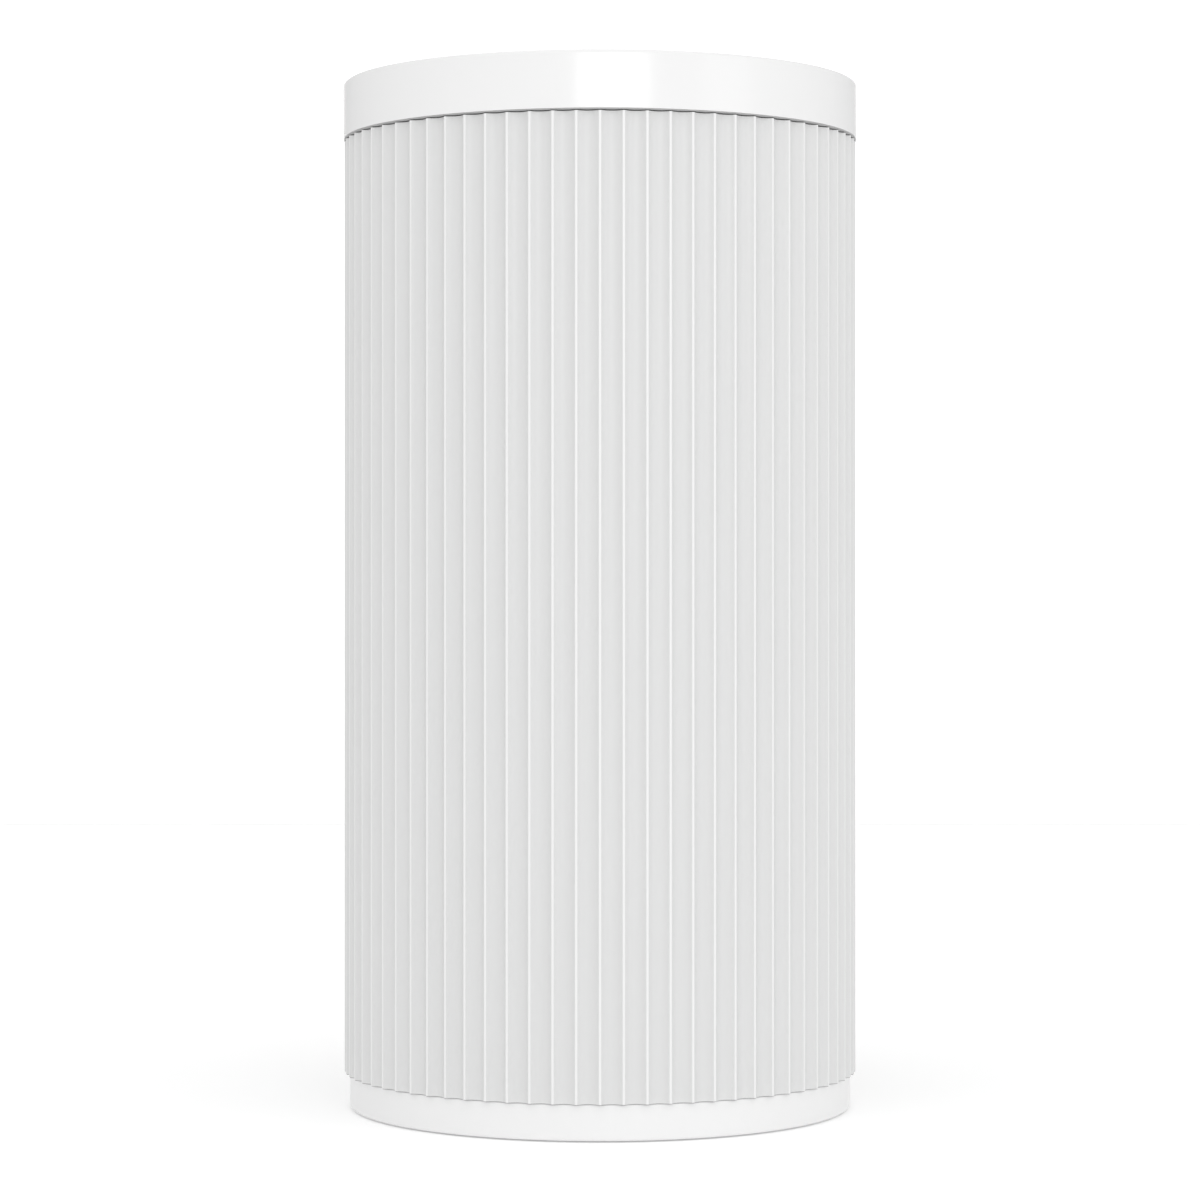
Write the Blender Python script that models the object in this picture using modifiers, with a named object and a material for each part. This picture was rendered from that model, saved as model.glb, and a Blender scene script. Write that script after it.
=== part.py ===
"""A round column air purifier: fluted shells on a plain base ring, under a smooth top band.

The scene is in metres and this script's own sizes are in millimetres: every helper below scales
them by MM. +Z is up, the axis is the Z axis, and the feet stand on z = 0. The front faces -Y.
The filter door and the mains inlet are at the rear, +Y. Polar angles are degrees from +X.
"""

import math

import bmesh
import bpy
from mathutils import Matrix, Vector

MM = 0.001
FRONT, REAR = -90.0, 90.0

# Driving dimensions.
HEIGHT = 439.0  # floor to the rim of the top band
RIDGE_RADIUS = 110.0  # crest of the ridges
BAND_RADIUS = 110.5
BASE_RADIUS = 107.6
BAND_BOTTOM = HEIGHT - 23.5
BASE_TOP = 15.3
RIM_BOTTOM = 0.6  # the base ring clears the floor by this, on its feet
FLUTES = 72
PITCH = 360.0 / FLUTES
FLUTE_DEPTH = 2.2
RIDGE_WIDTH = 1.1
SHELL_INNER = 105.2
GAP = 0.3  # between pieces that touch on the real object
SEAM = 0.4  # between the fluted pieces
REVEAL = 0.9  # shadow line under the top band
REAR_FLUTES = 31  # ridges on each rear piece
FRONT_FLUTES = FLUTES - REAR_FLUTES

# Levels, from the floor up.
FLOOR_PLATE = (2.4, 5.0)  # bottom and top of the base pan's floor
SKIRT_TOP = 39.6
TRAY = (36.0, 40.0)
DOOR_TOP = 285.8
DECK = (286.0, 290.0)
DUCT_TOP = 426.6
MOUNT = (346.0, 358.0)
GRILLE = (430.3, 435.5)
PANEL = (434.0, 436.4)
SHELL_BOTTOM = BASE_TOP + GAP
SHELL_TOP = BAND_BOTTOM - REVEAL

# Radii inside.
TRAY_RADIUS = 97.0
DECK_RADIUS = 103.5
DUCT_OUTER = 96.0
DUCT_INNER = 93.5
FILTER_RADIUS = 78.0
IMPELLER_RADIUS = 86.0
SHAFT_RADIUS = 3.0
SHAFT_BORE = SHAFT_RADIUS + GAP

HARNESS_ANGLE = 225.0
HARNESS_RADIUS = 2.5
BASE_SCREW_ANGLES = (90.0, 210.0, 330.0)
BASE_SCREW_RADIUS = 72.0
DUCT_SCREW_ANGLES = (30.0, 150.0, 270.0)
DUCT_SCREW_RADIUS = 99.4
FOOT_ANGLES = {"front_right": -45.0, "front_left": -135.0, "rear_right": 45.0, "rear_left": 135.0}
FOOT_RADIUS = 88.0
MAGNET_LEVELS = {"upper": 240.0, "lower": 80.0}
KEYS = {  # name: polar angle, distance from the axis and radius of the cap
    "power": (0.0, 0.0, 11.0),
    "speed": (FRONT, 28.0, 6.5),
    "timer": (FRONT - 55.0, 28.0, 6.5),
    "night": (FRONT + 55.0, 28.0, 6.5),
}


def clear_scene():
    for thing in list(bpy.data.objects):
        bpy.data.objects.remove(thing)


def new_collection(name):
    collection = bpy.data.collections.new(name)
    bpy.context.scene.collection.children.link(collection)
    return collection


clear_scene()
PARTS = new_collection("air_purifier")
CUTTERS = new_collection("cutters")
CUTTERS.hide_render = True


def finish(name, colour, roughness, metallic=0.0):
    """A plain Principled material, made once for each name."""
    if name in bpy.data.materials:
        return bpy.data.materials[name]
    material = bpy.data.materials.new(name)
    material.use_nodes = True
    shader = material.node_tree.nodes["Principled BSDF"]
    shader.inputs["Base Color"].default_value = (*colour, 1.0)
    shader.inputs["Roughness"].default_value = roughness
    shader.inputs["Metallic"].default_value = metallic
    return material


SHELL_WHITE = finish("shell_white", (0.78, 0.78, 0.78), 0.45)
BAND_WHITE = finish("band_white", (0.84, 0.84, 0.84), 0.22)
BASE_WHITE = finish("base_white", (0.80, 0.80, 0.80), 0.38)
GRILLE_WHITE = finish("grille_white", (0.74, 0.74, 0.74), 0.5)
FRAME_GREY = finish("frame_grey", (0.55, 0.56, 0.57), 0.55)
FAN_GREY = finish("fan_grey", (0.30, 0.31, 0.33), 0.5)
PANEL_WHITE = finish("panel_white", (0.86, 0.86, 0.86), 0.15)
KEY_WHITE = finish("key_white", (0.80, 0.80, 0.80), 0.4)
LIGHT_DIFFUSER = finish("light_diffuser", (0.70, 0.82, 0.90), 0.35)
RUBBER = finish("dark_rubber", (0.04, 0.04, 0.04), 0.85)
INLET_BLACK = finish("inlet_black", (0.03, 0.03, 0.03), 0.4)
STEEL = finish("bright_steel", (0.62, 0.62, 0.63), 0.3, 1.0)
MAGNET = finish("nickel_plate", (0.66, 0.65, 0.62), 0.25, 1.0)
FERRITE = finish("ferrite", (0.07, 0.07, 0.08), 0.7)
LAMINATION = finish("lamination_steel", (0.35, 0.35, 0.37), 0.45, 1.0)
BRASS = finish("brass", (0.72, 0.55, 0.28), 0.35, 1.0)
BOARD_GREEN = finish("board_green", (0.03, 0.20, 0.10), 0.5)
FILTER_PLASTIC = finish("filter_plastic", (0.12, 0.13, 0.15), 0.5)
PAPER = finish("filter_paper", (0.88, 0.88, 0.85), 0.9)
CARBON = finish("carbon", (0.02, 0.02, 0.02), 0.9)
NET = finish("filter_net", (0.10, 0.10, 0.11), 0.8)
FOAM = finish("seal_foam", (0.05, 0.05, 0.05), 0.95)
STRAP = finish("pull_strap", (0.20, 0.45, 0.60), 0.8)
CABLE = finish("cable_black", (0.03, 0.03, 0.03), 0.55)


def polar(radius, degrees):
    return (radius * math.cos(math.radians(degrees)), radius * math.sin(math.radians(degrees)))


def arc(radius, start, end, steps):
    """Points along an arc, both ends included."""
    return [polar(radius, start + (end - start) * step / steps) for step in range(steps + 1)]


def circle(radius, steps, centre=(0.0, 0.0)):
    x, y = centre
    return [(x + px, y + py) for px, py in arc(radius, 0, 360 * (1 - 1 / steps), steps - 1)]


def place(name, mesh, material, collection=PARTS):
    """Adds the mesh as an object, as a part or, in CUTTERS, as a hidden cutter."""
    mesh.materials.append(material)
    thing = bpy.data.objects.new(name, mesh)
    collection.objects.link(thing)
    if collection is CUTTERS:
        thing.hide_render = True
        thing.display_type = "WIRE"
    return thing


def turned(name, profile, material, segments=40, centre=(0.0, 0.0), ring=True, collection=PARTS):
    """A profile of (radius, level) points turned round Z. A ring's profile is a closed loop."""
    mesh = bpy.data.meshes.new(name)
    work = bmesh.new()
    corners = [work.verts.new((radius * MM, 0, level * MM)) for radius, level in profile]
    ends = corners[1:] + corners[:1] if ring else corners[1:]
    for first, second in zip(corners, ends):
        work.edges.new((first, second))
    work.to_mesh(mesh)
    work.free()
    thing = place(name, mesh, material, collection)
    thing.location = (centre[0] * MM, centre[1] * MM, 0)
    screw = thing.modifiers.new("Turn", "SCREW")
    screw.steps = screw.render_steps = segments
    screw.use_merge_vertices = True
    screw.merge_threshold = 0.00001
    return thing


def made_mesh(curve_object, material, collection):
    """The curve object's evaluated mesh as a new object, closed and facing out."""
    bpy.context.view_layer.update()
    graph = bpy.context.evaluated_depsgraph_get()
    mesh = bpy.data.meshes.new_from_object(curve_object.evaluated_get(graph))
    work = bmesh.new()
    work.from_mesh(mesh)
    bmesh.ops.remove_doubles(work, verts=work.verts, dist=0.000001)
    bmesh.ops.recalc_face_normals(work, faces=work.faces)
    work.to_mesh(mesh)
    work.free()
    mesh.materials.clear()
    mesh.shade_smooth()
    mesh.set_sharp_from_angle(angle=math.radians(30))
    name, matrix = curve_object.name, curve_object.matrix_world.copy()
    bpy.data.objects.remove(curve_object)
    thing = place(name, mesh, material, collection)
    thing.matrix_world = matrix
    return thing


def plate(name, outlines, bottom, top, material, collection=PARTS):
    """Flat outlines in plan, with the holes among them, extruded from bottom to top."""
    curve = bpy.data.curves.new(name, "CURVE")
    curve.dimensions = "2D"
    curve.fill_mode = "BOTH"
    curve.extrude = (top - bottom) / 2 * MM
    for outline in outlines:
        spline = curve.splines.new("POLY")
        spline.points.add(len(outline) - 1)
        for point, (x, y) in zip(spline.points, outline):
            point.co = (x * MM, y * MM, 0, 1)
        spline.use_cyclic_u = True
    guide = bpy.data.objects.new(name, curve)
    guide.location.z = (bottom + top) / 2 * MM
    PARTS.objects.link(guide)
    return made_mesh(guide, material, collection)


def add_box(work, x_range, y_range, z_range, turn=0.0):
    """A box between the given limits, then turned round the Z axis by some degrees."""
    limits = (x_range, y_range, z_range)
    centre = Vector([(low + high) / 2 * MM for low, high in limits])
    size = [(high - low) * MM for low, high in limits]
    matrix = Matrix.Rotation(math.radians(turn), 4, "Z") @ Matrix.Translation(centre)
    bmesh.ops.create_cube(work, size=1.0, matrix=matrix @ Matrix.Diagonal((*size, 1)))


def add_rod(work, radius, start, end, segments=16):
    """A round rod between two points."""
    start, end = Vector(start) * MM, Vector(end) * MM
    turn = (end - start).to_track_quat("Z", "Y").to_matrix().to_4x4()
    bmesh.ops.create_cone(
        work,
        cap_ends=True,
        segments=segments,
        radius1=radius * MM,
        radius2=radius * MM,
        depth=(end - start).length,
        matrix=Matrix.Translation((start + end) / 2) @ turn,
    )


def solid(name, material, fill, collection=PARTS):
    """An object from what the function fill adds to a new bmesh."""
    mesh = bpy.data.meshes.new(name)
    work = bmesh.new()
    fill(work)
    work.to_mesh(mesh)
    work.free()
    mesh.shade_smooth()
    mesh.set_sharp_from_angle(angle=math.radians(30))
    return place(name, mesh, material, collection)


def boolean(thing, operation, other):
    modifier = thing.modifiers.new(other.name, "BOOLEAN")
    modifier.operation = operation
    modifier.solver = "EXACT"
    modifier.object = other
    return thing


def cut(thing, fill):
    """Takes what fill adds out of the object."""
    cutter = solid(f"{thing.name}_cut_{len(thing.modifiers)}", STEEL, fill, CUTTERS)
    return boolean(thing, "DIFFERENCE", cutter)


def add(thing, fill):
    """Joins what fill adds to the object."""
    return boolean(thing, "UNION", solid(f"{thing.name}_add", STEEL, fill, CUTTERS))


def upright_rods(radius, distance, angles, bottom, top, segments=12):
    """A fill for solid, cut and add: upright rods at one distance from the axis."""

    def fill(work):
        for angle in angles:
            x, y = polar(distance, angle)
            add_rod(work, radius, (x, y, bottom), (x, y, top), segments)

    return fill


# The fluted pieces.

VALLEY_RADIUS = RIDGE_RADIUS - FLUTE_DEPTH
HALF_CHORD = math.radians(PITCH) * RIDGE_RADIUS / 2 - RIDGE_WIDTH / 2
SCALLOP_RADIUS = (HALF_CHORD**2 + FLUTE_DEPTH**2) / (2 * FLUTE_DEPTH)


def scallop(share):
    """Radius, and angle from the middle of the valley, at a share of the way up to the ridge."""
    swing = math.asin(HALF_CHORD / SCALLOP_RADIUS) * share
    radius = VALLEY_RADIUS + SCALLOP_RADIUS * (1 - math.cos(swing))
    return radius, math.degrees(SCALLOP_RADIUS * math.sin(swing) / radius)


def fluted_outline(middle, ridges, inner_step):
    """A fluted wall in plan, centred on a polar angle, with a valley at each end."""
    angles = [middle + (index - (ridges - 1) / 2) * PITCH for index in range(ridges)]
    half_seam = math.degrees(SEAM / 2 / VALLEY_RADIUS)
    start = angles[0] - PITCH / 2 + half_seam
    end = angles[-1] + PITCH / 2 - half_seam
    outer = [polar(VALLEY_RADIUS, start)]
    for angle in angles:
        for share in (0.5, 1.0):
            radius, swing = scallop(share)
            outer.append(polar(radius, angle - PITCH / 2 + swing))
        for share in (1.0, 0.5, 0.0):
            radius, swing = scallop(share)
            outer.append(polar(radius, angle + PITCH / 2 - swing))
    outer[-1] = polar(VALLEY_RADIUS, end)
    inner = [polar(SHELL_INNER, angle) for angle in angles[::-inner_step]]
    return outer + [polar(SHELL_INNER, end)] + inner + [polar(SHELL_INNER, start)]


def make_shells():
    front = fluted_outline(FRONT, FRONT_FLUTES, 2)
    rear = fluted_outline(REAR, REAR_FLUTES, 2)
    door = fluted_outline(REAR, REAR_FLUTES, 1)
    plate("front_shell", [front], SHELL_BOTTOM, SHELL_TOP, SHELL_WHITE)
    skirt = plate("rear_skirt", [rear], SHELL_BOTTOM, SKIRT_TOP, SHELL_WHITE)
    cut(skirt, skirt_openings)
    plate("rear_upper_shell", [rear], DOOR_TOP + SEAM, SHELL_TOP, SHELL_WHITE)
    panel = plate("intake_door", [door], SKIRT_TOP + SEAM, DOOR_TOP, SHELL_WHITE)
    add(panel, magnet_holders)
    cut(panel, door_openings)
    cut(panel, magnet_pockets)


INLET_LEVELS = (18.5, 33.5)
INLET_HALF_WIDTH = 12.0
INLET_DEPTHS = (92.0, 108.4)  # from the axis to its back and to its face
SENSOR_ANGLE = 55.0
SLOT_WIDTH = 3.2


def skirt_openings(work):
    low, high = INLET_LEVELS
    half = INLET_HALF_WIDTH + GAP
    add_box(work, (-half, half), (90, 115), (low - GAP, high + GAP))
    for valley in (-1.5, -0.5, 0.5, 1.5):
        turn = SENSOR_ANGLE + valley * PITCH
        add_box(work, (100, 115), (-SLOT_WIDTH / 2, SLOT_WIDTH / 2), (20, 34), turn)


SLOT_ROWS = 3
SLOT_LENGTH = 61.0
SLOT_BRIDGE = 8.0
SLOTS_FROM = 60.0
SLOTTED_VALLEYS = 26
NOTCH_HALF_WIDTH = 23.0
NOTCH_BOTTOM = 270.0


def door_openings(work):
    """The intake slots, in the valleys, and the finger notch at the top edge."""
    half = SLOT_WIDTH / 2
    for valley in range(SLOTTED_VALLEYS):
        turn = REAR + (valley - (SLOTTED_VALLEYS - 1) / 2) * PITCH
        for row in range(SLOT_ROWS):
            bottom = SLOTS_FROM + row * (SLOT_LENGTH + SLOT_BRIDGE)
            add_box(work, (100, 115), (-half, half), (bottom, bottom + SLOT_LENGTH), turn)
    add_box(work, (-NOTCH_HALF_WIDTH, NOTCH_HALF_WIDTH), (90, 120), (NOTCH_BOTTOM, DOOR_TOP + 5))


# The door's magnets meet two steel strips on the chassis posts.
POST_X = (93.0, 100.0)
POST_Y = (6.0, 24.0)
STRIP_X = (93.5, 99.5)
STRIP_Y = (24.3, 25.8)
MAGNET_Y = (26.2, 30.0)
MAGNET_HALF_HEIGHT = 10.0


def add_pair(work, x_range, y_range, z_range):
    """A box on the right and its mirror image on the left."""
    add_box(work, x_range, y_range, z_range)
    add_box(work, (-x_range[1], -x_range[0]), y_range, z_range)


def magnet_holders(work):
    for level in MAGNET_LEVELS.values():
        add_pair(work, (92.0, 101.5), (26.2, 33.0), (level - 13, level + 13))


def magnet_pockets(work):
    half = MAGNET_HALF_HEIGHT + GAP
    x_range = (STRIP_X[0] - GAP, STRIP_X[1] + GAP)
    for level in MAGNET_LEVELS.values():
        add_pair(work, x_range, (20, MAGNET_Y[1] + GAP), (level - half, level + half))


def make_door_fittings():
    half = MAGNET_HALF_HEIGHT
    for side, sign in (("right", 1), ("left", -1)):
        strip_x = sorted(sign * x for x in STRIP_X)
        for row, level in MAGNET_LEVELS.items():
            z_range = (level - half, level + half)
            solid(
                f"door_magnet_{row}_{side}",
                MAGNET,
                lambda work: add_box(work, strip_x, MAGNET_Y, z_range),
            )
        strip_z = (MAGNET_LEVELS["lower"] - 20, MAGNET_LEVELS["upper"] + 20)
        solid(f"strike_strip_{side}", STEEL, lambda work: add_box(work, strip_x, STRIP_Y, strip_z))
    outline = arc(104.5, REAR - 66, REAR + 66, 22) + arc(103.3, REAR + 66, REAR - 66, 22)
    plate("door_net", [outline], 50, 262, NET)


# The base.


def make_base():
    floor_bottom, floor_top = FLOOR_PLATE
    profile = [
        (0, floor_top),
        (101.2, floor_top),
        (101.2, 18.0),
        (104.0, 18.0),
        (104.0, BASE_TOP),
        (BASE_RADIUS, BASE_TOP),
        (BASE_RADIUS, RIM_BOTTOM + 1.0),
        (BASE_RADIUS - 1.0, RIM_BOTTOM),
        (103.0, RIM_BOTTOM),
        (102.0, floor_bottom),
        (0, floor_bottom),
    ]
    pan = turned("base_pan", profile, BASE_WHITE, 40, ring=False)
    add(pan, board_bosses)
    cut(pan, upright_rods(1.6, BASE_SCREW_RADIUS, BASE_SCREW_ANGLES, 0, 8))
    for corner, angle in FOOT_ANGLES.items():
        foot = [(0, 2.1), (8, 2.1), (8, 0.5), (7.5, 0), (0, 0)]
        centre = polar(FOOT_RADIUS, angle)
        turned(f"foot_{corner}", foot, RUBBER, 20, centre, ring=False)
    for number, angle in enumerate(BASE_SCREW_ANGLES, 1):
        centre = polar(BASE_SCREW_RADIUS, angle)
        turned(f"base_screw_{number}", screw_profile(2.1, 14, -1), STEEL, 12, centre, ring=False)


def screw_profile(seat, tip, way):
    """A pan-head screw whose head sits on the level seat. Its shank points up where way is -1."""
    head, shank, height = 2.8, 1.2, 1.2
    points = [(0, seat + way * height), (head, seat + way * height), (head, seat)]
    points += [(shank, seat), (shank, tip), (0, tip)]
    return points if way > 0 else points[::-1]


BOARD_X = (-50.0, 50.0)
BOARD_Y = (-30.0, 50.0)
BOARD_LEVELS = (12.0, 13.6)


def board_bosses(work):
    for x in (BOARD_X[0] + 5, BOARD_X[1] - 5):
        for y in (BOARD_Y[0] + 5, BOARD_Y[1] - 5):
            add_rod(work, 3, (x, y, FLOOR_PLATE[0] + 1), (x, y, BOARD_LEVELS[0] - GAP), 8)


def power_board_parts(work):
    """Transformer, reservoir capacitor and heat sink on the power board."""
    low = BOARD_LEVELS[1] - 0.5
    add_box(work, (-12, 18), (-20, 6), (low, 32))
    add_rod(work, 8, (34, -12, low), (34, -12, 33), 12)
    add_box(work, (-40, 0), (30, 34), (low, 30))


def make_electrics():
    board = solid("power_board", BOARD_GREEN, lambda w: add_box(w, BOARD_X, BOARD_Y, BOARD_LEVELS))
    add(board, power_board_parts)
    sensor_x = (81, 95)
    solid(
        "air_sensor",
        FILTER_PLASTIC,
        lambda work: add_box(work, sensor_x, (-18, 18), (5.3, 30), SENSOR_ANGLE),
    )
    make_inlet()
    route = [(44, 16.5), (70, 19.5), (90, 22.5), (97.5, 26.5), (100.6, 33.5), (100.6, 385)]
    route += [(98, 397), (90, 402), (60, 407), (40, 409.5), (24, 411.5)]
    curve = bpy.data.curves.new("harness", "CURVE")
    curve.dimensions = "3D"
    curve.bevel_depth = HARNESS_RADIUS * MM
    curve.bevel_resolution = 2
    curve.use_fill_caps = True
    spline = curve.splines.new("POLY")
    spline.points.add(len(route) - 1)
    for point, (distance, level) in zip(spline.points, route):
        x, y = polar(distance, HARNESS_ANGLE)
        point.co = (x * MM, y * MM, level * MM, 1)
    guide = bpy.data.objects.new("harness", curve)
    PARTS.objects.link(guide)
    made_mesh(guide, CABLE, PARTS)


PIN_OFFSET = 4.3


def make_inlet():
    """The figure-eight mains inlet: a body with a hollow, and two round pins in it."""
    back, face = INLET_DEPTHS
    low, high = INLET_LEVELS
    level = (low + high) / 2
    half = INLET_HALF_WIDTH
    body = solid(
        "mains_inlet", INLET_BLACK, lambda work: add_box(work, (-half, half), (back, face), (low, high))
    )

    def hollow(work):
        for x in (-PIN_OFFSET, PIN_OFFSET):
            add_rod(work, 4.2, (x, face - 12, level), (x, face + 2, level))

    def bridge(work):
        add_box(work, (-PIN_OFFSET, PIN_OFFSET), (face - 12, face + 2), (level - 3.4, level + 3.4))

    def pin_holes(work):
        for x in (-PIN_OFFSET, PIN_OFFSET):
            add_rod(work, 1.5, (x, back + 2, level), (x, face, level), 10)

    cut(body, hollow)
    cut(body, bridge)
    cut(body, pin_holes)
    for side, x in (("right", PIN_OFFSET), ("left", -PIN_OFFSET)):
        ends = ((x, back + 2.5, level), (x, face - 2.5, level))
        solid(f"inlet_pin_{side}", BRASS, lambda work: add_rod(work, 1.18, *ends, 10))


# The chassis: tray, wall, deck and duct.


def make_chassis():
    tray = plate("filter_tray", [circle(TRAY_RADIUS, 40)], *TRAY, FRAME_GREY)
    post_bottom = FLOOR_PLATE[1] + GAP
    angles = BASE_SCREW_ANGLES
    add(tray, upright_rods(4.5, BASE_SCREW_RADIUS, angles, post_bottom, TRAY[0] + 1, 10))
    cut(tray, upright_rods(1.5, BASE_SCREW_RADIUS, angles, post_bottom - 3, 16, 10))

    wall_start, wall_end = FRONT - 98, FRONT + 98
    outline = arc(96.5, wall_start + 4.5, wall_end - 4.5, 20)
    outline += [(POST_X[1], POST_Y[0]), (POST_X[1], POST_Y[1]), (POST_X[0], POST_Y[1])]
    outline += arc(94.0, wall_end, wall_start, 20)
    outline += [(-POST_X[0], POST_Y[1]), (-POST_X[1], POST_Y[1]), (-POST_X[1], POST_Y[0])]
    plate("chassis_wall", [outline], TRAY[1] + GAP, DECK[0] - GAP, FRAME_GREY)

    low, high = DECK
    bellmouth = [(DECK_RADIUS, high), (60, high), (56.6, 292.4), (54.5, 297)]
    bellmouth += [(52, 297), (53.6, 291), (57.4, 287.2), (62, low), (DECK_RADIUS, low)]
    deck = turned("fan_deck", bellmouth, FRAME_GREY, 32)
    profile = [(DUCT_OUTER, DUCT_TOP), (DUCT_OUTER, 293.5), (102.8, 293.5), (102.8, high + GAP)]
    profile += [(91, high + GAP), (91, MOUNT[0] - GAP), (DUCT_INNER, MOUNT[0] - GAP)]
    profile += [(DUCT_INNER, DUCT_TOP)]
    duct = turned("blower_duct", profile, FRAME_GREY, 40)
    screw_holes = upright_rods(1.6, DUCT_SCREW_RADIUS, DUCT_SCREW_ANGLES, 280, 300, 10)
    harness_notch = upright_rods(3.6, 101, [HARNESS_ANGLE], 280, 300)
    for thing in (deck, duct):
        cut(thing, screw_holes)
        cut(thing, harness_notch)
    cut(duct, lambda work: add_rod(work, 3.9, harness_point(103, 393.9), harness_point(84, 405.7)))
    for number, angle in enumerate(DUCT_SCREW_ANGLES, 1):
        centre = polar(DUCT_SCREW_RADIUS, angle)
        turned(f"duct_screw_{number}", screw_profile(293.8, 283, 1), STEEL, 12, centre, ring=False)


def harness_point(distance, level):
    return (*polar(distance, HARNESS_ANGLE), level)


# The filter cartridge.

MEDIA = (46.3, 277.7)
PLEATS = 36


def sleeve(name, inner, outer, bottom, top, material, segments=28):
    profile = [(outer, top), (outer, bottom), (inner, bottom), (inner, top)]
    return turned(name, profile, material, segments)


def make_filter():
    low, high = MEDIA
    plate("filter_base", [circle(FILTER_RADIUS, 28)], TRAY[1] + GAP, low - GAP, FILTER_PLASTIC)
    pleats = [
        polar(radius, 360 * (fold + shift) / PLEATS)
        for fold in range(PLEATS)
        for radius, shift in ((75.5, 0.0), (68.0, 0.5))
    ]
    plate("filter_media", [pleats, circle(60.0, 24)], low, high, PAPER)
    sleeve("carbon_core", 54.5, 58.5, low, high, CARBON)
    sleeve("filter_net", 76.2, 77.4, low, high, NET)
    sleeve("filter_collar", 54.5, FILTER_RADIUS, high + GAP, 282.0, FILTER_PLASTIC)
    sleeve("filter_seal", 64.0, 76.0, 282.3, 285.5, FOAM)
    tab_y = (FILTER_RADIUS + GAP, FILTER_RADIUS + 1.8)
    solid("filter_tab", STRAP, lambda work: add_box(work, (-10, 10), tab_y, (238, 281)))


# The blower.

BLADES = 9
SHROUD = (306.0, 308.2)
BACKPLATE = (333.0, 335.2)
HUB_BOTTOM = 303.8


def blade_outline(number):
    """A backward-curved blade in plan, from the eye of the impeller to its rim."""
    inner, outer, sweep, half_width, steps = 46.0, IMPELLER_RADIUS - 0.5, 48.0, 1.0, 3
    start = 360 * number / BLADES
    middle = []
    for step in range(steps + 1):
        share = step / steps
        radius = inner + (outer - inner) * share
        middle.append(Vector(polar(radius, start - sweep * share**0.8)))
    left, right = [], []
    for index, point in enumerate(middle):
        ahead = middle[min(index + 1, steps)] - middle[max(index - 1, 0)]
        across = Vector((-ahead.y, ahead.x)).normalized() * half_width
        left.append(tuple(point + across))
        right.append(tuple(point - across))
    return left + right[::-1]


def make_impeller():
    low, high = BACKPLATE
    hub = [
        (SHAFT_BORE, HUB_BOTTOM + 2.2),
        (34, HUB_BOTTOM + 2.2),
        (34, high),
        (IMPELLER_RADIUS, high),
        (IMPELLER_RADIUS, low),
        (36.2, low),
        (36.2, HUB_BOTTOM),
        (SHAFT_BORE, HUB_BOTTOM),
    ]
    impeller = turned("impeller", hub, FAN_GREY, 28)
    low, high = SHROUD
    shroud = [(IMPELLER_RADIUS, high), (IMPELLER_RADIUS, low), (62.5, low), (58.9, 301.5)]
    shroud += [(58.9, 293.5), (56.7, 293.5), (56.7, 302.5), (61, high)]
    eye = turned("impeller_shroud", shroud, FAN_GREY, 28, collection=CUTTERS)
    outlines = [blade_outline(number) for number in range(BLADES)]
    blade_levels = (SHROUD[0] + 1.1, BACKPLATE[0] + 1.1)
    blades = plate("impeller_blades", outlines, *blade_levels, FAN_GREY, CUTTERS)
    boolean(impeller, "UNION", blades)
    boolean(impeller, "UNION", eye)


def make_motor():
    bore = SHAFT_BORE
    shaft = [(0, 345), (SHAFT_RADIUS, 345), (SHAFT_RADIUS, 299), (0, 299)]
    turned("motor_shaft", shaft, STEEL, 16, ring=False)
    plate("shaft_nut", [circle(5.5, 6), circle(bore, 12)], 299.9, 303.5, STEEL)
    cup = [(bore, 308.5), (31.6, 308.5), (31.6, 336), (33.7, 336), (33.7, 306.3), (bore, 306.3)]
    turned("rotor_cup", cup, STEEL, 28)
    sleeve("rotor_magnet", 28.6, 31.3, 311, 333, FERRITE, 28)
    teeth = []
    for tooth in range(9):
        middle = 40.0 * tooth
        for radius, swing in ((15, -9), (24.5, -6), (25, -16), (28, -16)):
            teeth.append(polar(radius, middle + swing))
        for radius, swing in ((28, 16), (25, 16), (24.5, 6), (15, 9)):
            teeth.append(polar(radius, middle + swing))
    plate("stator", [teeth, circle(10.8, 18)], 313, 331, LAMINATION)
    for row, bottom in (("lower", 312.0), ("upper", 338.0)):
        sleeve(f"{row}_bearing", bore, 7.8, bottom, bottom + 5, STEEL, 16)
    mount = plate("motor_mount", mount_outlines(), *MOUNT, FRAME_GREY)
    add(mount, lambda work: add_rod(work, 10.5, (0, 0, 311), (0, 0, MOUNT[0] + 1), 18))
    cut(mount, lambda work: add_rod(work, 8.1, (0, 0, 300), (0, 0, MOUNT[0] - 1), 18))


VANES = 7
MOUNT_RING = (89.5, DUCT_INNER - 2 * GAP)
MOUNT_HUB = 32.0


def mount_outlines():
    """The motor mount in plan: a hub, swept vanes and a ring, as a disc with seven windows."""
    half_vane, sweep = 1.3, 24.0
    outlines = [circle(MOUNT_RING[1], 42)]
    for window in range(VANES):
        start, end = 360 * window / VANES, 360 * (window + 1) / VANES

        def edge(base, side, share):
            radius = MOUNT_HUB + (MOUNT_RING[0] - MOUNT_HUB) * share
            return radius, base + sweep * share + side * math.degrees(half_vane / radius)

        shares = (0.0, 0.33, 0.67, 1.0)
        first = [polar(*edge(start, 1, share)) for share in shares]
        last = [polar(*edge(end, -1, share)) for share in shares[::-1]]
        rim = arc(MOUNT_RING[0], edge(start, 1, 1)[1], edge(end, -1, 1)[1], 5)[1:-1]
        hub = arc(MOUNT_HUB, edge(end, -1, 0)[1], edge(start, 1, 0)[1], 3)[1:-1]
        outlines.append(first + rim + last + hub)
    return outlines


# The top.

GRILLE_SLOTS = 48
GRILLE_RADIUS = 101.2
GRILLE_BORE = 48.0
SLOT_REACH = (53.0, 93.0)
FIN_WIDTH = 2.2
LIGHT_RING = (45.3, 47.6)


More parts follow.
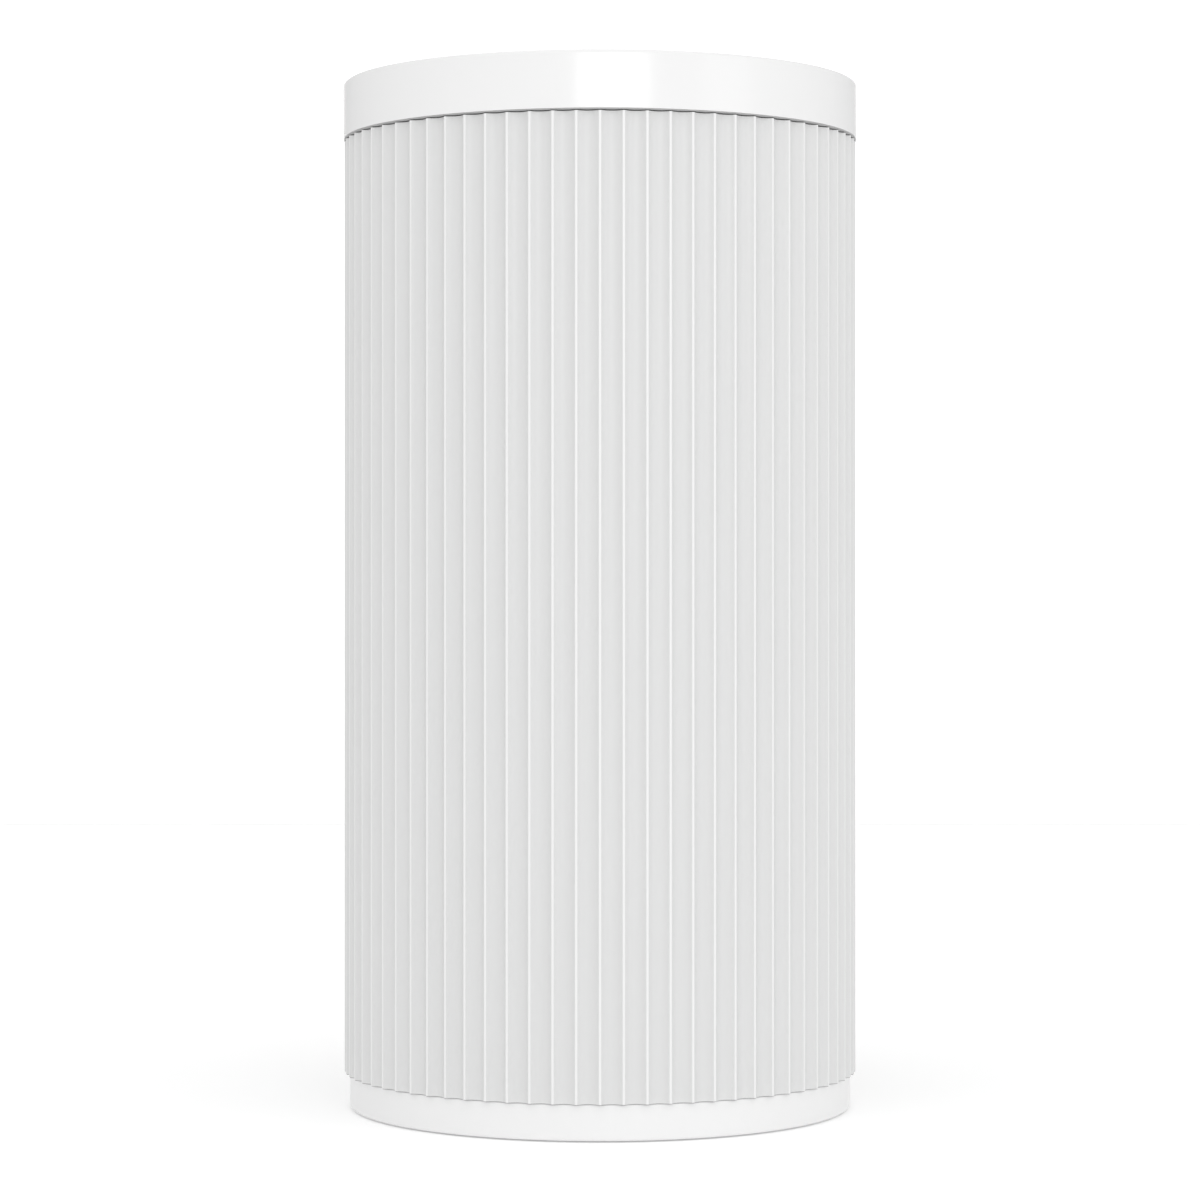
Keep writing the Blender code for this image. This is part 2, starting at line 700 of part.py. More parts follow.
def grille_outlines():
    outlines = [circle(GRILLE_RADIUS, 48), circle(GRILLE_BORE, 40)]
    for slot in range(GRILLE_SLOTS):
        corners = []
        for radius, sides in ((SLOT_REACH[0], (-1, 1)), (SLOT_REACH[1], (1, -1))):
            swing = 180 / GRILLE_SLOTS - math.degrees(FIN_WIDTH / 2 / radius)
            middle = 360 * (slot + 0.5) / GRILLE_SLOTS
            corners += [polar(radius, middle + side * swing) for side in sides]
        outlines.append(corners)
    return outlines


def make_top():
    band = [
        (103.2, HEIGHT),
        (BAND_RADIUS - 1.2, HEIGHT),
        (BAND_RADIUS - 0.35, HEIGHT - 0.35),
        (BAND_RADIUS, HEIGHT - 1.2),
        (BAND_RADIUS, BAND_BOTTOM),
        (104.3, BAND_BOTTOM),
        (104.3, 404.0),
        (101.7, 404.0),
        (101.7, 427.0),
        (97.5, 427.0),
        (97.5, GRILLE[0] - GAP),
        (101.7, GRILLE[0] - GAP),
        (101.7, HEIGHT - 1.5),
    ]
    turned("top_band", band, BAND_WHITE, 40)
    plate("outlet_grille", grille_outlines(), *GRILLE, GRILLE_WHITE)
    bowl_profile = [
        (0, 407),
        (25, 407),
        (38, 413.5),
        (41.8, 428),
        (42.6, 433.6),
        (44.8, 433.6),
        (44.8, 430),
        (50.3, 430),
        (50.3, 427.4),
        (44, 427.4),
        (40, 412),
        (26, 405),
        (0, 405),
    ]
    bowl = turned("control_bowl", bowl_profile, GRILLE_WHITE, 24, ring=False)
    boss_angles = (45.0, 165.0, 285.0)
    add(bowl, upright_rods(3, 31, boss_angles, 409, CONTROL_BOARD[0] - GAP, 8))
    cut(bowl, lambda work: add_rod(work, 3.6, harness_point(46, 408.8), harness_point(23, 411.6)))
    holes = [circle(radius + 0.4, 16, polar(distance, angle)) for angle, distance, radius in KEYS.values()]
    plate("control_panel", [circle(44.9, 32), *holes], *PANEL, PANEL_WHITE)
    sleeve("light_ring", *LIGHT_RING, GRILLE[0], 436.0, LIGHT_DIFFUSER, 32)
    make_controls()


CONTROL_BOARD = (423.0, 424.6)
SWITCH_TOP = 428.7
KEY_TOP = 437.2


def make_controls():
    board = plate("control_board", [circle(37, 28)], *CONTROL_BOARD, BOARD_GREEN)

    def switches(work):
        for angle, distance, _ in KEYS.values():
            x, y = polar(distance, angle)
            body = (CONTROL_BOARD[1] - 0.5, SWITCH_TOP - 1.2)
            add_box(work, (x - 3, x + 3), (y - 3, y + 3), body)
            add_rod(work, 1.7, (x, y, SWITCH_TOP - 1.5), (x, y, SWITCH_TOP), 8)

    boolean(board, "UNION", solid("switches", STEEL, switches, CUTTERS))
    for name, (angle, distance, radius) in KEYS.items():
        key = [
            (0, KEY_TOP),
            (radius - 0.6, KEY_TOP),
            (radius, KEY_TOP - 0.6),
            (radius, 433.4),
            (radius + 1.2, 433.4),
            (radius + 1.2, 431.8),
            (2.2, 431.8),
            (2.2, SWITCH_TOP + 1.0),
            (0, SWITCH_TOP + 1.0),
        ]
        turned(f"{name}_key", key, KEY_WHITE, 14, polar(distance, angle), ring=False)


make_base()
make_electrics()
make_chassis()
make_filter()
make_impeller()
make_motor()
make_shells()
make_door_fittings()
make_top()
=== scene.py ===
# %% [markdown]
# # A fluted column air purifier
# This lesson dresses a finished mechanical model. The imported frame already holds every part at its
# real place and size, so nothing here is measured by eye: each new piece reads the box of the part
# that it stands for. The column is a plain white body with 72 shallow flutes, a smooth band on top
# and a smooth ring below, and all of its character is in how light runs over the flutes.

# %% Load the frame
import math

import bmesh
import bpy
from mathutils import Matrix, Vector


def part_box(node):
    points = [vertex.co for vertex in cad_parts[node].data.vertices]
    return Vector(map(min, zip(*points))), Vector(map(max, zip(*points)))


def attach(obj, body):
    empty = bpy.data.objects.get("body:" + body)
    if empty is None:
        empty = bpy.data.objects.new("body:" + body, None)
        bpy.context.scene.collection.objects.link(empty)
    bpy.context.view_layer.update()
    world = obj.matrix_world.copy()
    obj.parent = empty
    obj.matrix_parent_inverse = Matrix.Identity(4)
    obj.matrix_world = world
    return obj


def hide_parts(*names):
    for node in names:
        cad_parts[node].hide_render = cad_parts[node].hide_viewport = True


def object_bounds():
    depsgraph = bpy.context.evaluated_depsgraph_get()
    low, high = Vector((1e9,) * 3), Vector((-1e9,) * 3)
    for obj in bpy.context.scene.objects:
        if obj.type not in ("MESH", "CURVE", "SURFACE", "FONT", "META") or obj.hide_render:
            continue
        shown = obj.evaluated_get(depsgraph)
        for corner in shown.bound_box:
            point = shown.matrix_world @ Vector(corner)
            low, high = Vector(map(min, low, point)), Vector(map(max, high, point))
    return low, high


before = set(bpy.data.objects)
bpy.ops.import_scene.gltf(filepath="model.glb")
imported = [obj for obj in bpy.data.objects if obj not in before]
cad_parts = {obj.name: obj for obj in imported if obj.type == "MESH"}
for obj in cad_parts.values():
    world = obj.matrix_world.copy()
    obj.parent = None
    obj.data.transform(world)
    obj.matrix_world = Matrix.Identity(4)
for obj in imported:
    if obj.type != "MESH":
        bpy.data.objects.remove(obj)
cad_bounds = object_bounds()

MM = 0.001
FLUTES = 72
PITCH = 2 * math.pi / FLUTES
FRONT, REAR = -math.pi / 2, math.pi / 2
ALL_ROUND = 6.28  # a spin by more than this closes on itself
print("parts in the frame:", len(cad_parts))

# %% [markdown]
# ## Reading places from the frame
# A part's box gives its levels and, because the column is round, its radius. Small helpers turn
# boxes into the numbers that a turned piece needs.

# %% Boxes to levels and radii


def levels(node):
    low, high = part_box(node)
    return low.z, high.z


def radius_of(node):
    low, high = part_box(node)
    return (high.x - low.x) / 2


def centre_of(node):
    low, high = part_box(node)
    return (low + high) / 2


def polar(radius, angle, level=0.0):
    return Vector((radius * math.cos(angle), radius * math.sin(angle), level))


def numbered(kind):
    """The parts whose names start the same way, such as the four feet."""
    return sorted(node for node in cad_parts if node.startswith(kind))


RIDGE = -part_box("front_shell")[0].y
print("crest of the ridges:", round(RIDGE / MM, 2), "mm")

# %% [markdown]
# ## Keeping a piece
# Every finished bmesh goes the same way: its doubles are merged, scraps are taken away, its faces
# are turned outwards, it is shaded smooth up to a crease angle, and it is told which body it moves
# with, which finish it has and which plain parts it stands for.

# %% Keep a bmesh as a piece


def without_scraps(bm):
    """Takes away what a Boolean can leave behind: pairs of faces folded flat, and loose edges."""
    groups = {}
    for face in bm.faces:
        groups.setdefault(frozenset(face.verts), []).append(face)
    folded = [face for group in groups.values() if len(group) > 1 for face in group]
    bmesh.ops.delete(bm, geom=folded, context="FACES_ONLY")
    loose = [edge for edge in bm.edges if not edge.link_faces]
    bmesh.ops.delete(bm, geom=loose, context="EDGES")


def keep(bm, name, body, finish, nodes=(), crease=35.0, merge=True):
    material, slot = finish
    if merge:
        bmesh.ops.remove_doubles(bm, verts=bm.verts, dist=1e-6)
        bmesh.ops.dissolve_degenerate(bm, edges=bm.edges, dist=1e-7)
        without_scraps(bm)
    bmesh.ops.recalc_face_normals(bm, faces=bm.faces)
    mesh = bpy.data.meshes.new(name)
    bm.to_mesh(mesh)
    bm.free()
    mesh.shade_smooth()
    mesh.set_sharp_from_angle(angle=math.radians(crease))
    mesh.materials.append(material)
    piece = bpy.data.objects.new(name, mesh)
    bpy.context.scene.collection.objects.link(piece)
    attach(piece, body)
    if nodes:
        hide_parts(*nodes)
    print(f"{name}: {len(mesh.polygons)} faces")
    return piece


# %% [markdown]
# ## Cutting one bmesh with another
# Slots, key holes and screw recesses are cut with a Boolean modifier, which is applied at once, so
# that the piece is left with a plain mesh and the cutter is gone.

# %% Boolean helper


def carve(bm, cutter, operation="DIFFERENCE"):
    objects = []
    for work in (bm, cutter):
        bmesh.ops.recalc_face_normals(work, faces=work.faces)
        mesh = bpy.data.meshes.new("carving")
        work.to_mesh(mesh)
        work.free()
        thing = bpy.data.objects.new("carving", mesh)
        bpy.context.scene.collection.objects.link(thing)
        objects.append(thing)
    body, tool = objects
    modifier = body.modifiers.new("Carve", "BOOLEAN")
    modifier.operation = operation
    modifier.solver = "EXACT"
    modifier.object = tool
    graph = bpy.context.evaluated_depsgraph_get()
    result = bmesh.new()
    result.from_mesh(body.evaluated_get(graph).to_mesh())
    for thing in objects:
        mesh = thing.data
        bpy.data.objects.remove(thing)
        bpy.data.meshes.remove(mesh)
    return result


# %% [markdown]
# ## Small tools for shapes
# The same moves come back all through the lesson: rounding edges, making a box or a rod, copying
# a piece round the axis, and extruding a flat outline into a solid. Each is one bmesh operator
# with settled values, so the later cells only say where and how big.

# %% Bevel, box, rod, spin and extrusion


def rounded(bm, items, offset, segments, affect="EDGES"):
    bmesh.ops.bevel(
        bm, geom=items, offset=offset, offset_type="OFFSET", segments=segments,
        profile=0.5, affect=affect, material=-1, clamp_overlap=False,
    )


def box_edges(bm, low, high):
    """Makes a box between two corners and returns its edges."""
    low, high = Vector(low), Vector(high)
    size = Matrix.Diagonal((*(high - low), 1))
    made = bmesh.ops.create_cube(bm, size=1.0, matrix=Matrix.Translation((low + high) / 2) @ size)
    return list(dict.fromkeys(edge for vert in made["verts"] for edge in vert.link_edges))


def block(bm, low, high, rounding=0.0, segments=2):
    """A box between two corners, with all its edges rounded."""
    edges = box_edges(bm, low, high)
    if rounding:
        rounded(bm, edges, rounding, segments)
    return bm


def rod(start, end, radius, segments=24, bm=None):
    start, end = Vector(start), Vector(end)
    turn = (end - start).to_track_quat("Z", "Y").to_matrix().to_4x4()
    bm = bm or bmesh.new()
    bmesh.ops.create_cone(
        bm, cap_ends=True, segments=segments, radius1=radius, radius2=radius,
        depth=(end - start).length, matrix=Matrix.Translation((start + end) / 2) @ turn,
    )
    return bm


def spun(bm, geometry, centre, angle, steps, **options):
    """Spins geometry about an upright axis and returns what the spin ended on."""
    settings = {"cent": centre, "axis": (0, 0, 1), "angle": angle, "steps": steps}
    return bmesh.ops.spin(bm, geom=geometry, **settings, **options)["geom_last"]


def repeated(bm, count, step=None):
    """Copies everything round the column's axis, until there are so many of it."""
    step = step or 2 * math.pi / count
    everything = bm.verts[:] + bm.edges[:] + bm.faces[:]
    spun(bm, everything, (0, 0, 0), step * (count - 1), count - 1, use_duplicate=True)


def drawn_to(bm, edges, radius):
    """Extrudes edges into a flat band that ends on a given radius."""
    made = bmesh.ops.extrude_edge_only(bm, edges=edges)["geom"]
    for vert in [item for item in made if isinstance(item, bmesh.types.BMVert)]:
        vert.co.xy *= radius / vert.co.xy.length


def raised(bm, height):
    """Extrudes flat faces upwards into a solid."""
    made = bmesh.ops.extrude_face_region(bm, geom=bm.faces[:], use_keep_orig=True)["geom"]
    top = [item for item in made if isinstance(item, bmesh.types.BMVert)]
    bmesh.ops.translate(bm, verts=top, vec=(0, 0, height))


# %% [markdown]
# ## Building materials from nodes
# Real moulded plastic is never one flat colour. It has a spark-eroded grain of a few tenths of a
# millimetre, a slight cloudiness in its gloss, and a colour that drifts by a percent or so. Each
# finish below is a Principled shader with those three things from noise on Object coordinates,
# which are metres here, so a noise scale of 1000 makes spots about a millimetre wide. Values that
# are the same all over the surface are set on the shader's own sockets.

# %% Node helpers


class Finish:
    """A material that is being wired, with short calls for the nodes that every finish uses."""

    def __init__(self, name, roughness=0.5, metallic=0.0, **sockets):
        self.material = bpy.data.materials.new(name)
        self.material.use_nodes = True
        self.tree = self.material.node_tree
        self.shader = self.tree.nodes["Principled BSDF"]
        self.shader.inputs["Roughness"].default_value = roughness
        self.shader.inputs["Metallic"].default_value = metallic
        for socket, value in sockets.items():
            self.shader.inputs[socket.replace("_", " ")].default_value = value
        self.coordinates = self.tree.nodes.new("ShaderNodeTexCoord").outputs["Object"]

    def node(self, kind, **settings):
        made = self.tree.nodes.new(kind)
        for name, value in settings.items():
            setattr(made, name, value)
        return made

    def feed(self, node, values):
        """Links an output to a socket, or sets the socket's own value."""
        for socket, value in values.items():
            if isinstance(value, bpy.types.NodeSocket):
                self.tree.links.new(value, node.inputs[socket])
            else:
                node.inputs[socket].default_value = value
        return node

    def stretched(self, scale):
        mapping = self.node("ShaderNodeMapping")
        self.feed(mapping, {"Vector": self.coordinates, "Scale": scale})
        return mapping.outputs["Vector"]

    def noise(self, scale, detail=2.0, vector=None):
        made = self.node("ShaderNodeTexNoise")
        values = {"Vector": vector or self.coordinates, "Scale": scale, "Detail": detail}
        return self.feed(made, values).outputs["Fac"]

    def cells(self, scale, output="Distance"):
        made = self.node("ShaderNodeTexVoronoi")
        return self.feed(made, {"Vector": self.coordinates, "Scale": scale}).outputs[output]

    def bands(self, scale, direction, distortion=0.0, vector=None):
        made = self.node("ShaderNodeTexWave", bands_direction=direction)
        values = {"Vector": vector or self.coordinates, "Scale": scale, "Distortion": distortion}
        return self.feed(made, values).outputs["Fac"]

    def ranged(self, value, low, high, start=0.3, end=0.7):
        made = self.node("ShaderNodeMapRange")
        values = {"Value": value, "From Min": start, "From Max": end, "To Min": low, "To Max": high}
        return self.feed(made, values).outputs["Result"]

    def joined(self, first, second, operation="ADD"):
        made = self.node("ShaderNodeMath", operation=operation)
        return self.feed(made, {0: first, 1: second}).outputs["Value"]

    def tint(self, fac, first, second):
        """Colours the surface between two tones."""
        made = self.node("ShaderNodeMix", data_type="RGBA")
        self.feed(made, {"Factor": fac, "A": (*first, 1.0), "B": (*second, 1.0)})
        self.tree.links.new(made.outputs["Result"], self.shader.inputs["Base Color"])

    def gloss(self, value, low, high):
        self.tree.links.new(self.ranged(value, low, high), self.shader.inputs["Roughness"])

    def relief(self, height, depth, strength=1.0):
        """Bump of a real depth in metres."""
        made = self.node("ShaderNodeBump")
        self.feed(made, {"Height": height, "Distance": depth, "Strength": strength})
        self.tree.links.new(made.outputs["Normal"], self.shader.inputs["Normal"])


def shade(colour, factor):
    return tuple(min(1.0, channel * factor) for channel in colour)


# %% [markdown]
# ## Moulded plastics
# The shells, the base and the inner frame are all moulded, but not in the same tool. The outside
# is finely eroded and satin, the band is polished, and the hidden frame is coarser and duller.
# One function makes them all, with the grain size and depth as its arguments.

# %% Plastic finishes


def plastic(name, slot, colour, roughness, grain=1600.0, depth=0.00001, drift=0.012, **sockets):
    finish = Finish(name, roughness, **sockets)
    cloud = finish.noise(14.0, 3.0)
    finish.tint(cloud, shade(colour, 1 - drift), shade(colour, 1 + drift))
    finish.gloss(finish.noise(70.0, 3.0), roughness - 0.03, roughness + 0.03)
    finish.relief(finish.noise(grain, 2.0), depth, 0.5)
    return finish.material, slot


def shell_plastic():
    """Satin plastic whose crests are painted lighter than the hollows between them: a painted highlight on
    the crests, painted shade in the flutes.
    """
    finish = Finish("satin_shell_plastic", 0.4)
    around = finish.node("ShaderNodeVectorMath", operation="MULTIPLY")
    finish.feed(around, {0: finish.coordinates, 1: (1.0, 1.0, 0.0)})
    length = finish.node("ShaderNodeVectorMath", operation="LENGTH")
    radius = finish.feed(length, {0: around.outputs["Vector"]}).outputs["Value"]
    # Painted light: by radius, the crests are tinted lighter as a painted highlight and the flutes darker
    # as painted shade.
    crest = finish.ranged(radius, 0.0, 1.0, RIDGE - 0.12 * MM, RIDGE - 0.02 * MM)
    cloud = finish.noise(14.0, 3.0)
    painted_highlight_and_tone = finish.joined(crest, finish.ranged(cloud, 0.0, 0.03))
    finish.tint(painted_highlight_and_tone, (0.662, 0.664, 0.662), (0.775, 0.775, 0.775))
    finish.gloss(finish.noise(70.0, 3.0), 0.36, 0.42)
    finish.relief(finish.noise(1600.0, 2.0), 0.00001, 0.5)
    return finish.material, "shell_white"


SHELL = shell_plastic()
BAND = plastic("polished_band_plastic", "band_white", (0.785, 0.785, 0.785), 0.20, 500, 0.000002, 0.006)
BASE = plastic("satin_base_plastic", "base_white", (0.79, 0.79, 0.79), 0.34)
GRILLE = plastic("grille_plastic", "grille_white", (0.76, 0.76, 0.76), 0.45)
FRAME = plastic("inner_frame_plastic", "frame_grey", (0.52, 0.53, 0.54), 0.55, 900, 0.00003, 0.03)
FAN = plastic("fan_plastic", "fan_grey", (0.16, 0.17, 0.18), 0.42, 1200, 0.00001, 0.04)
# The grey of the two joint pieces is painted shade, for the dark lines under the band and over the base.
JOINT_SHADE = plastic("joint_shade_grey", "dark_rubber", (0.38, 0.38, 0.38), 0.8, 1500, 0.00002, 0.05)
PANEL = plastic("panel_plastic", "panel_white", (0.86, 0.86, 0.86), 0.12, 400, 0.000002, 0.005)
KEY = plastic("key_plastic", "key_white", (0.80, 0.80, 0.80), 0.36)
INLET = plastic("inlet_plastic", "inlet_black", (0.025, 0.025, 0.026), 0.42, 1100, 0.00002, 0.08)
TAPE = plastic("winding_tape", "filter_plastic", (0.72, 0.55, 0.10), 0.38, 600, 0.00001, 0.04)
CARTRIDGE = plastic("cartridge_plastic", "filter_plastic", (0.10, 0.11, 0.13), 0.5, 900, 0.00003, 0.06)
INK = plastic("printed_ink", "filter_plastic", (0.22, 0.23, 0.24), 0.55, 2500, 0.000002, 0.03)
print("plastics made: 13")

# %% [markdown]
# ## Rubber, foam and light
# Rubber is dark, dull and slightly dusty. Foam is a mass of tiny open bubbles, which a Voronoi
# texture gives. The light ring is frosted plastic that passes light, so it gets some transmission
# and a rough surface.

# %% Soft and frosted finishes


def rubber():
    finish = Finish("foot_rubber", 0.85)
    dust = finish.noise(160.0, 4.0)
    finish.tint(dust, (0.030, 0.030, 0.031), (0.062, 0.061, 0.059))
    finish.gloss(dust, 0.74, 0.92)
    finish.relief(finish.noise(1400.0, 3.0), 0.00004)
    return finish.material, "dark_rubber"


def foam():
    finish = Finish("seal_foam", 0.95)
    bubbles = finish.cells(1500.0)
    finish.tint(bubbles, (0.016, 0.016, 0.017), (0.070, 0.070, 0.072))
    finish.relief(bubbles, 0.0003)
    return finish.material, "seal_foam"


def frosted():
    finish = Finish("frosted_ring", 0.35, Transmission_Weight=0.35, IOR=1.49)
    finish.tint(finish.noise(40.0), (0.78, 0.86, 0.92), (0.84, 0.90, 0.95))
    finish.gloss(finish.noise(400.0), 0.30, 0.40)
    finish.relief(finish.noise(2000.0), 0.000008)
    return finish.material, "light_diffuser"


RUBBER, FOAM, FROSTED = rubber(), foam(), frosted()

# %% [markdown]
# ## Metals
# Metal is told apart by how its surface was made. Turned and drawn steel has fine lines, so the
# noise is stretched many times longer one way than the other. Ferrite and laminations are dull.

# %% Metal finishes


def metal(name, slot, colour, roughness, lines=(1.0, 1.0, 14.0), grain=700.0, metallic=1.0):
    finish = Finish(name, roughness, metallic)
    brushed = finish.noise(grain, 3.0, finish.stretched(lines))
    finish.tint(finish.noise(90.0, 4.0), shade(colour, 0.92), shade(colour, 1.05))
    finish.gloss(brushed, roughness - 0.07, roughness + 0.09)
    finish.relief(brushed, 0.000006)
    return finish.material, slot


STEEL = metal("drawn_steel", "bright_steel", (0.60, 0.60, 0.61), 0.30)
NICKEL = metal("nickel_plating", "nickel_plate", (0.66, 0.64, 0.60), 0.22, (1, 1, 1), 300.0)
FERRITE = metal("sintered_ferrite", "ferrite", (0.07, 0.07, 0.08), 0.65, (1, 1, 1), 1500.0, 0.2)
LAMINATION = metal("lamination_stack", "lamination_steel", (0.33, 0.33, 0.35), 0.45, (1, 1, 60))
BRASS = metal("turned_brass", "brass", (0.72, 0.55, 0.28), 0.30)
COPPER = metal("enamelled_copper", "brass", (0.62, 0.25, 0.10), 0.35, (1, 1, 40), 900.0)
print("metals made: 6")

# %% [markdown]
# ## Filter media, cloth and boards
# The pleated paper is a felt of fine fibres, long and thin in no one direction. Carbon is a bed of
# granules. A woven net or strap shows its threads as two crossed sets of bands. A circuit board
# has a green mask over copper tracks, so the tracks stand slightly proud and lighter.

# %% Media and board finishes


def paper():
    finish = Finish("pleated_paper", 0.9, Sheen_Weight=0.2, Sheen_Roughness=0.5)
    fibres = finish.noise(900.0, 6.0, finish.stretched((1.0, 1.0, 0.25)))
    finish.tint(fibres, (0.78, 0.78, 0.74), (0.90, 0.90, 0.87))
    finish.relief(fibres, 0.0001)
    return finish.material, "filter_paper"


def carbon():
    finish = Finish("carbon_granules", 0.8)
    grains = finish.cells(700.0)
    finish.tint(finish.cells(700.0, "Color"), (0.010, 0.010, 0.011), (0.045, 0.045, 0.048))
    finish.relief(grains, 0.0006)
    return finish.material, "carbon"


def woven(name, slot, dark, light, threads):
    finish = Finish(name, 0.75, Sheen_Weight=0.3, Sheen_Roughness=0.4)
    upright = finish.bands(threads, "X", 0.4)
    level = finish.bands(threads, "Z", 0.4)
    weave = finish.joined(upright, level, "MULTIPLY")
    finish.tint(weave, dark, light)
    finish.relief(weave, 0.0001)
    return finish.material, slot


def board():
    finish = Finish("board_mask", 0.35)
    tracks = finish.node("ShaderNodeTexBrick", offset=0.35, squash=0.6)
    values = {"Vector": finish.coordinates, "Scale": 130.0, "Mortar Size": 0.09, "Mortar Smooth": 0.1}
    layout = finish.feed(tracks, values).outputs["Fac"]
    finish.tint(layout, (0.012, 0.110, 0.050), (0.030, 0.230, 0.105))
    finish.relief(layout, 0.00004)
    return finish.material, "board_green"


PAPER, CARBON, BOARD = paper(), carbon(), board()
NET = woven("nylon_net", "filter_net", (0.050, 0.050, 0.054), (0.130, 0.130, 0.136), 320.0)
STRAP = woven("woven_strap", "pull_strap", (0.09, 0.24, 0.36), (0.22, 0.46, 0.62), 420.0)
CABLE = woven("cable_sleeve", "cable_black", (0.018, 0.018, 0.019), (0.060, 0.060, 0.062), 500.0)

# %% [markdown]
# ## One flute, then all of them
# A flute is a shallow circular scallop, cut by a round tool. Between two scallops a ridge about a
# millimetre wide is left. The plan of one pitch runs from the middle of one scallop, up to the
# ridge, across it, and down to the middle of the next. Spin draws each of those arcs from a single
# vertex, about the scallop's own centre or about the column's axis, so no point is worked out by
# hand. Spinning the finished pitch with duplicates then lays the others beside it.

# %% The plan of a fluted wall
FLUTE_DEPTH = 2.2 * MM
RIDGE_WIDTH = 0.95 * MM
SHELL_INNER = 105.2 * MM
SEAM = 0.4 * MM
SCALLOP_STEPS = 7
VALLEY = RIDGE - FLUTE_DEPTH
half_swing = PITCH / 2 - RIDGE_WIDTH / 2 / RIDGE
half_chord = RIDGE * math.sin(half_swing)
chord_depth = RIDGE * math.cos(half_swing) - VALLEY
SCALLOP = (half_chord**2 + chord_depth**2) / (2 * chord_depth)
SCALLOP_SWING = math.asin(half_chord / SCALLOP)
print("scallop radius:", round(SCALLOP / MM, 2), "mm")


def fluted_plan(bm, start, ridges):
    """Edges of a fluted outline, from the valley at the angle start, for so many ridges."""
    first_centre = polar(VALLEY + SCALLOP, start)
    next_centre = polar(VALLEY + SCALLOP, start + PITCH)
    last = [bm.verts.new(polar(VALLEY, start))]
    last = spun(bm, last, first_centre, -SCALLOP_SWING, SCALLOP_STEPS)
    last = spun(bm, last, (0, 0, 0), PITCH - 2 * half_swing, 2)
    spun(bm, last, next_centre, -SCALLOP_SWING, SCALLOP_STEPS)
    repeated(bm, ridges, PITCH)
    bmesh.ops.remove_doubles(bm, verts=bm.verts, dist=1e-6)


# %% [markdown]
# The outline becomes a wall in two extrusions: first inwards, flat, to the smooth inner face, and
# then upwards. The ridge's corners are rounded last, because the real tool leaves a small radius
# there; that radius and the painted highlight on the crests draw the bright line down every ridge.

# %% From plan to wall
CORNER = 0.22 * MM


def ridge_corners(bm):
    corners = []
    for edge in bm.edges:
        upright = abs(edge.verts[0].co.z - edge.verts[1].co.z) > 0.01
        outside = edge.verts[0].co.xy.length > RIDGE - 0.02 * MM
        if upright and outside and edge.calc_face_angle(0) > math.radians(25):
            corners.append(edge)
    return corners


def fluted_wall(middle, ridges, bottom, top):
    bm = bmesh.new()
    start = middle - ridges * PITCH / 2
    fluted_plan(bm, start, ridges)
    half_seam = SEAM / 2 / VALLEY
    ends = [vert for vert in bm.verts if len(vert.link_edges) == 1]
    ends.sort(key=lambda vert: (vert.co - polar(VALLEY, start)).length)
    for vert, way in zip(ends, (1, -1)):
        turn = Matrix.Rotation(way * half_seam, 3, "Z")
        bmesh.ops.rotate(bm, verts=[vert], cent=(0, 0, 0), matrix=turn)
    drawn_to(bm, bm.edges, SHELL_INNER)
    bmesh.ops.translate(bm, verts=bm.verts, vec=(0, 0, bottom))
    raised(bm, top - bottom)
    bmesh.ops.recalc_face_normals(bm, faces=bm.faces)
    rounded(bm, ridge_corners(bm), CORNER, 2)
    return bm


REAR_RIDGES = 31
FRONT_RIDGES = FLUTES - REAR_RIDGES
front = fluted_wall(FRONT, FRONT_RIDGES, *levels("front_shell"))
keep(front, "fluted_front", "housing", SHELL, ["front_shell"], crease=28)
upper = fluted_wall(REAR, REAR_RIDGES, *levels("rear_upper_shell"))
keep(upper, "fluted_rear_top", "housing", SHELL, ["rear_upper_shell"], crease=28)

# %% [markdown]
# ## Slots in the valleys
# The filter door breathes through slots that sit in the valleys, so the ridges run on unbroken.
# A slot is a long box whose upright corners are rounded into half circles. Its mouth is a little
# wider than its throat, which leaves a small chamfer round it when it is cut.

# %% Slot cutters
SLOT_WIDTH = 3.2 * MM
MOUTH = 0.6 * MM  # how much wider the mouth is, all round
ALMOST_ROUND = 0.98  # a full half circle would leave an edge of no length


def rounded_bar(bm, angle, half_width, bottom, top, near, far, flare=0.0):
    """A bar from radius near to far along an angle, with round ends in elevation."""
    middle, level = (near + far) / 2, (bottom + top) / 2
    before = set(bm.verts)
    edges = box_edges(bm, (near, -half_width, bottom), (far, half_width, top))
    along = [edge for edge in edges if abs(edge.verts[0].co.x - edge.verts[1].co.x) > far - middle]
    rounded(bm, along, min(half_width, level - bottom) * ALMOST_ROUND, 4)
    fresh = [vert for vert in bm.verts if vert not in before]
    for vert in fresh:
        if flare and vert.co.x > middle:
            vert.co.y *= 1 + flare / half_width
            vert.co.z += math.copysign(flare, vert.co.z - level)
    bmesh.ops.rotate(bm, verts=fresh, cent=(0, 0, 0), matrix=Matrix.Rotation(angle, 3, "Z"))


def slotted(bm, angles, rows):
    """Cuts the throats of all slots, and then their wider mouths."""
    half = SLOT_WIDTH / 2
    throat = (SHELL_INNER - 3 * MM, VALLEY + 3 * MM, 0.0)
    mouth = (VALLEY - 0.6 * MM, VALLEY + 0.9 * MM, MOUTH)
    for near, far, flare in (throat, mouth):
        cutter = bmesh.new()
        for angle in angles:
            for bottom, top in rows:
                rounded_bar(cutter, angle, half, bottom, top, near, far, flare)
        bm = carve(bm, cutter)
    return bm


# %% [markdown]
# ## The intake door
# The door is a fluted wall like the others, with three rows of slots in 26 of its valleys, a finger
# notch in its top edge, and four holders on its inner face for the magnets. The holders are joined
# on before anything is cut, and their pockets are cut with the rest.

# %% The door
SLOTTED = 26
SLOT_ROWS = 3
SLOT_LENGTH = 61.0 * MM
SLOT_BRIDGE = 8.0 * MM
SLOTS_FROM = 60.0 * MM
NOTCH = (23.0 * MM, 270.0 * MM)  # half width and bottom
NOTCH_CORNER = 6.0 * MM


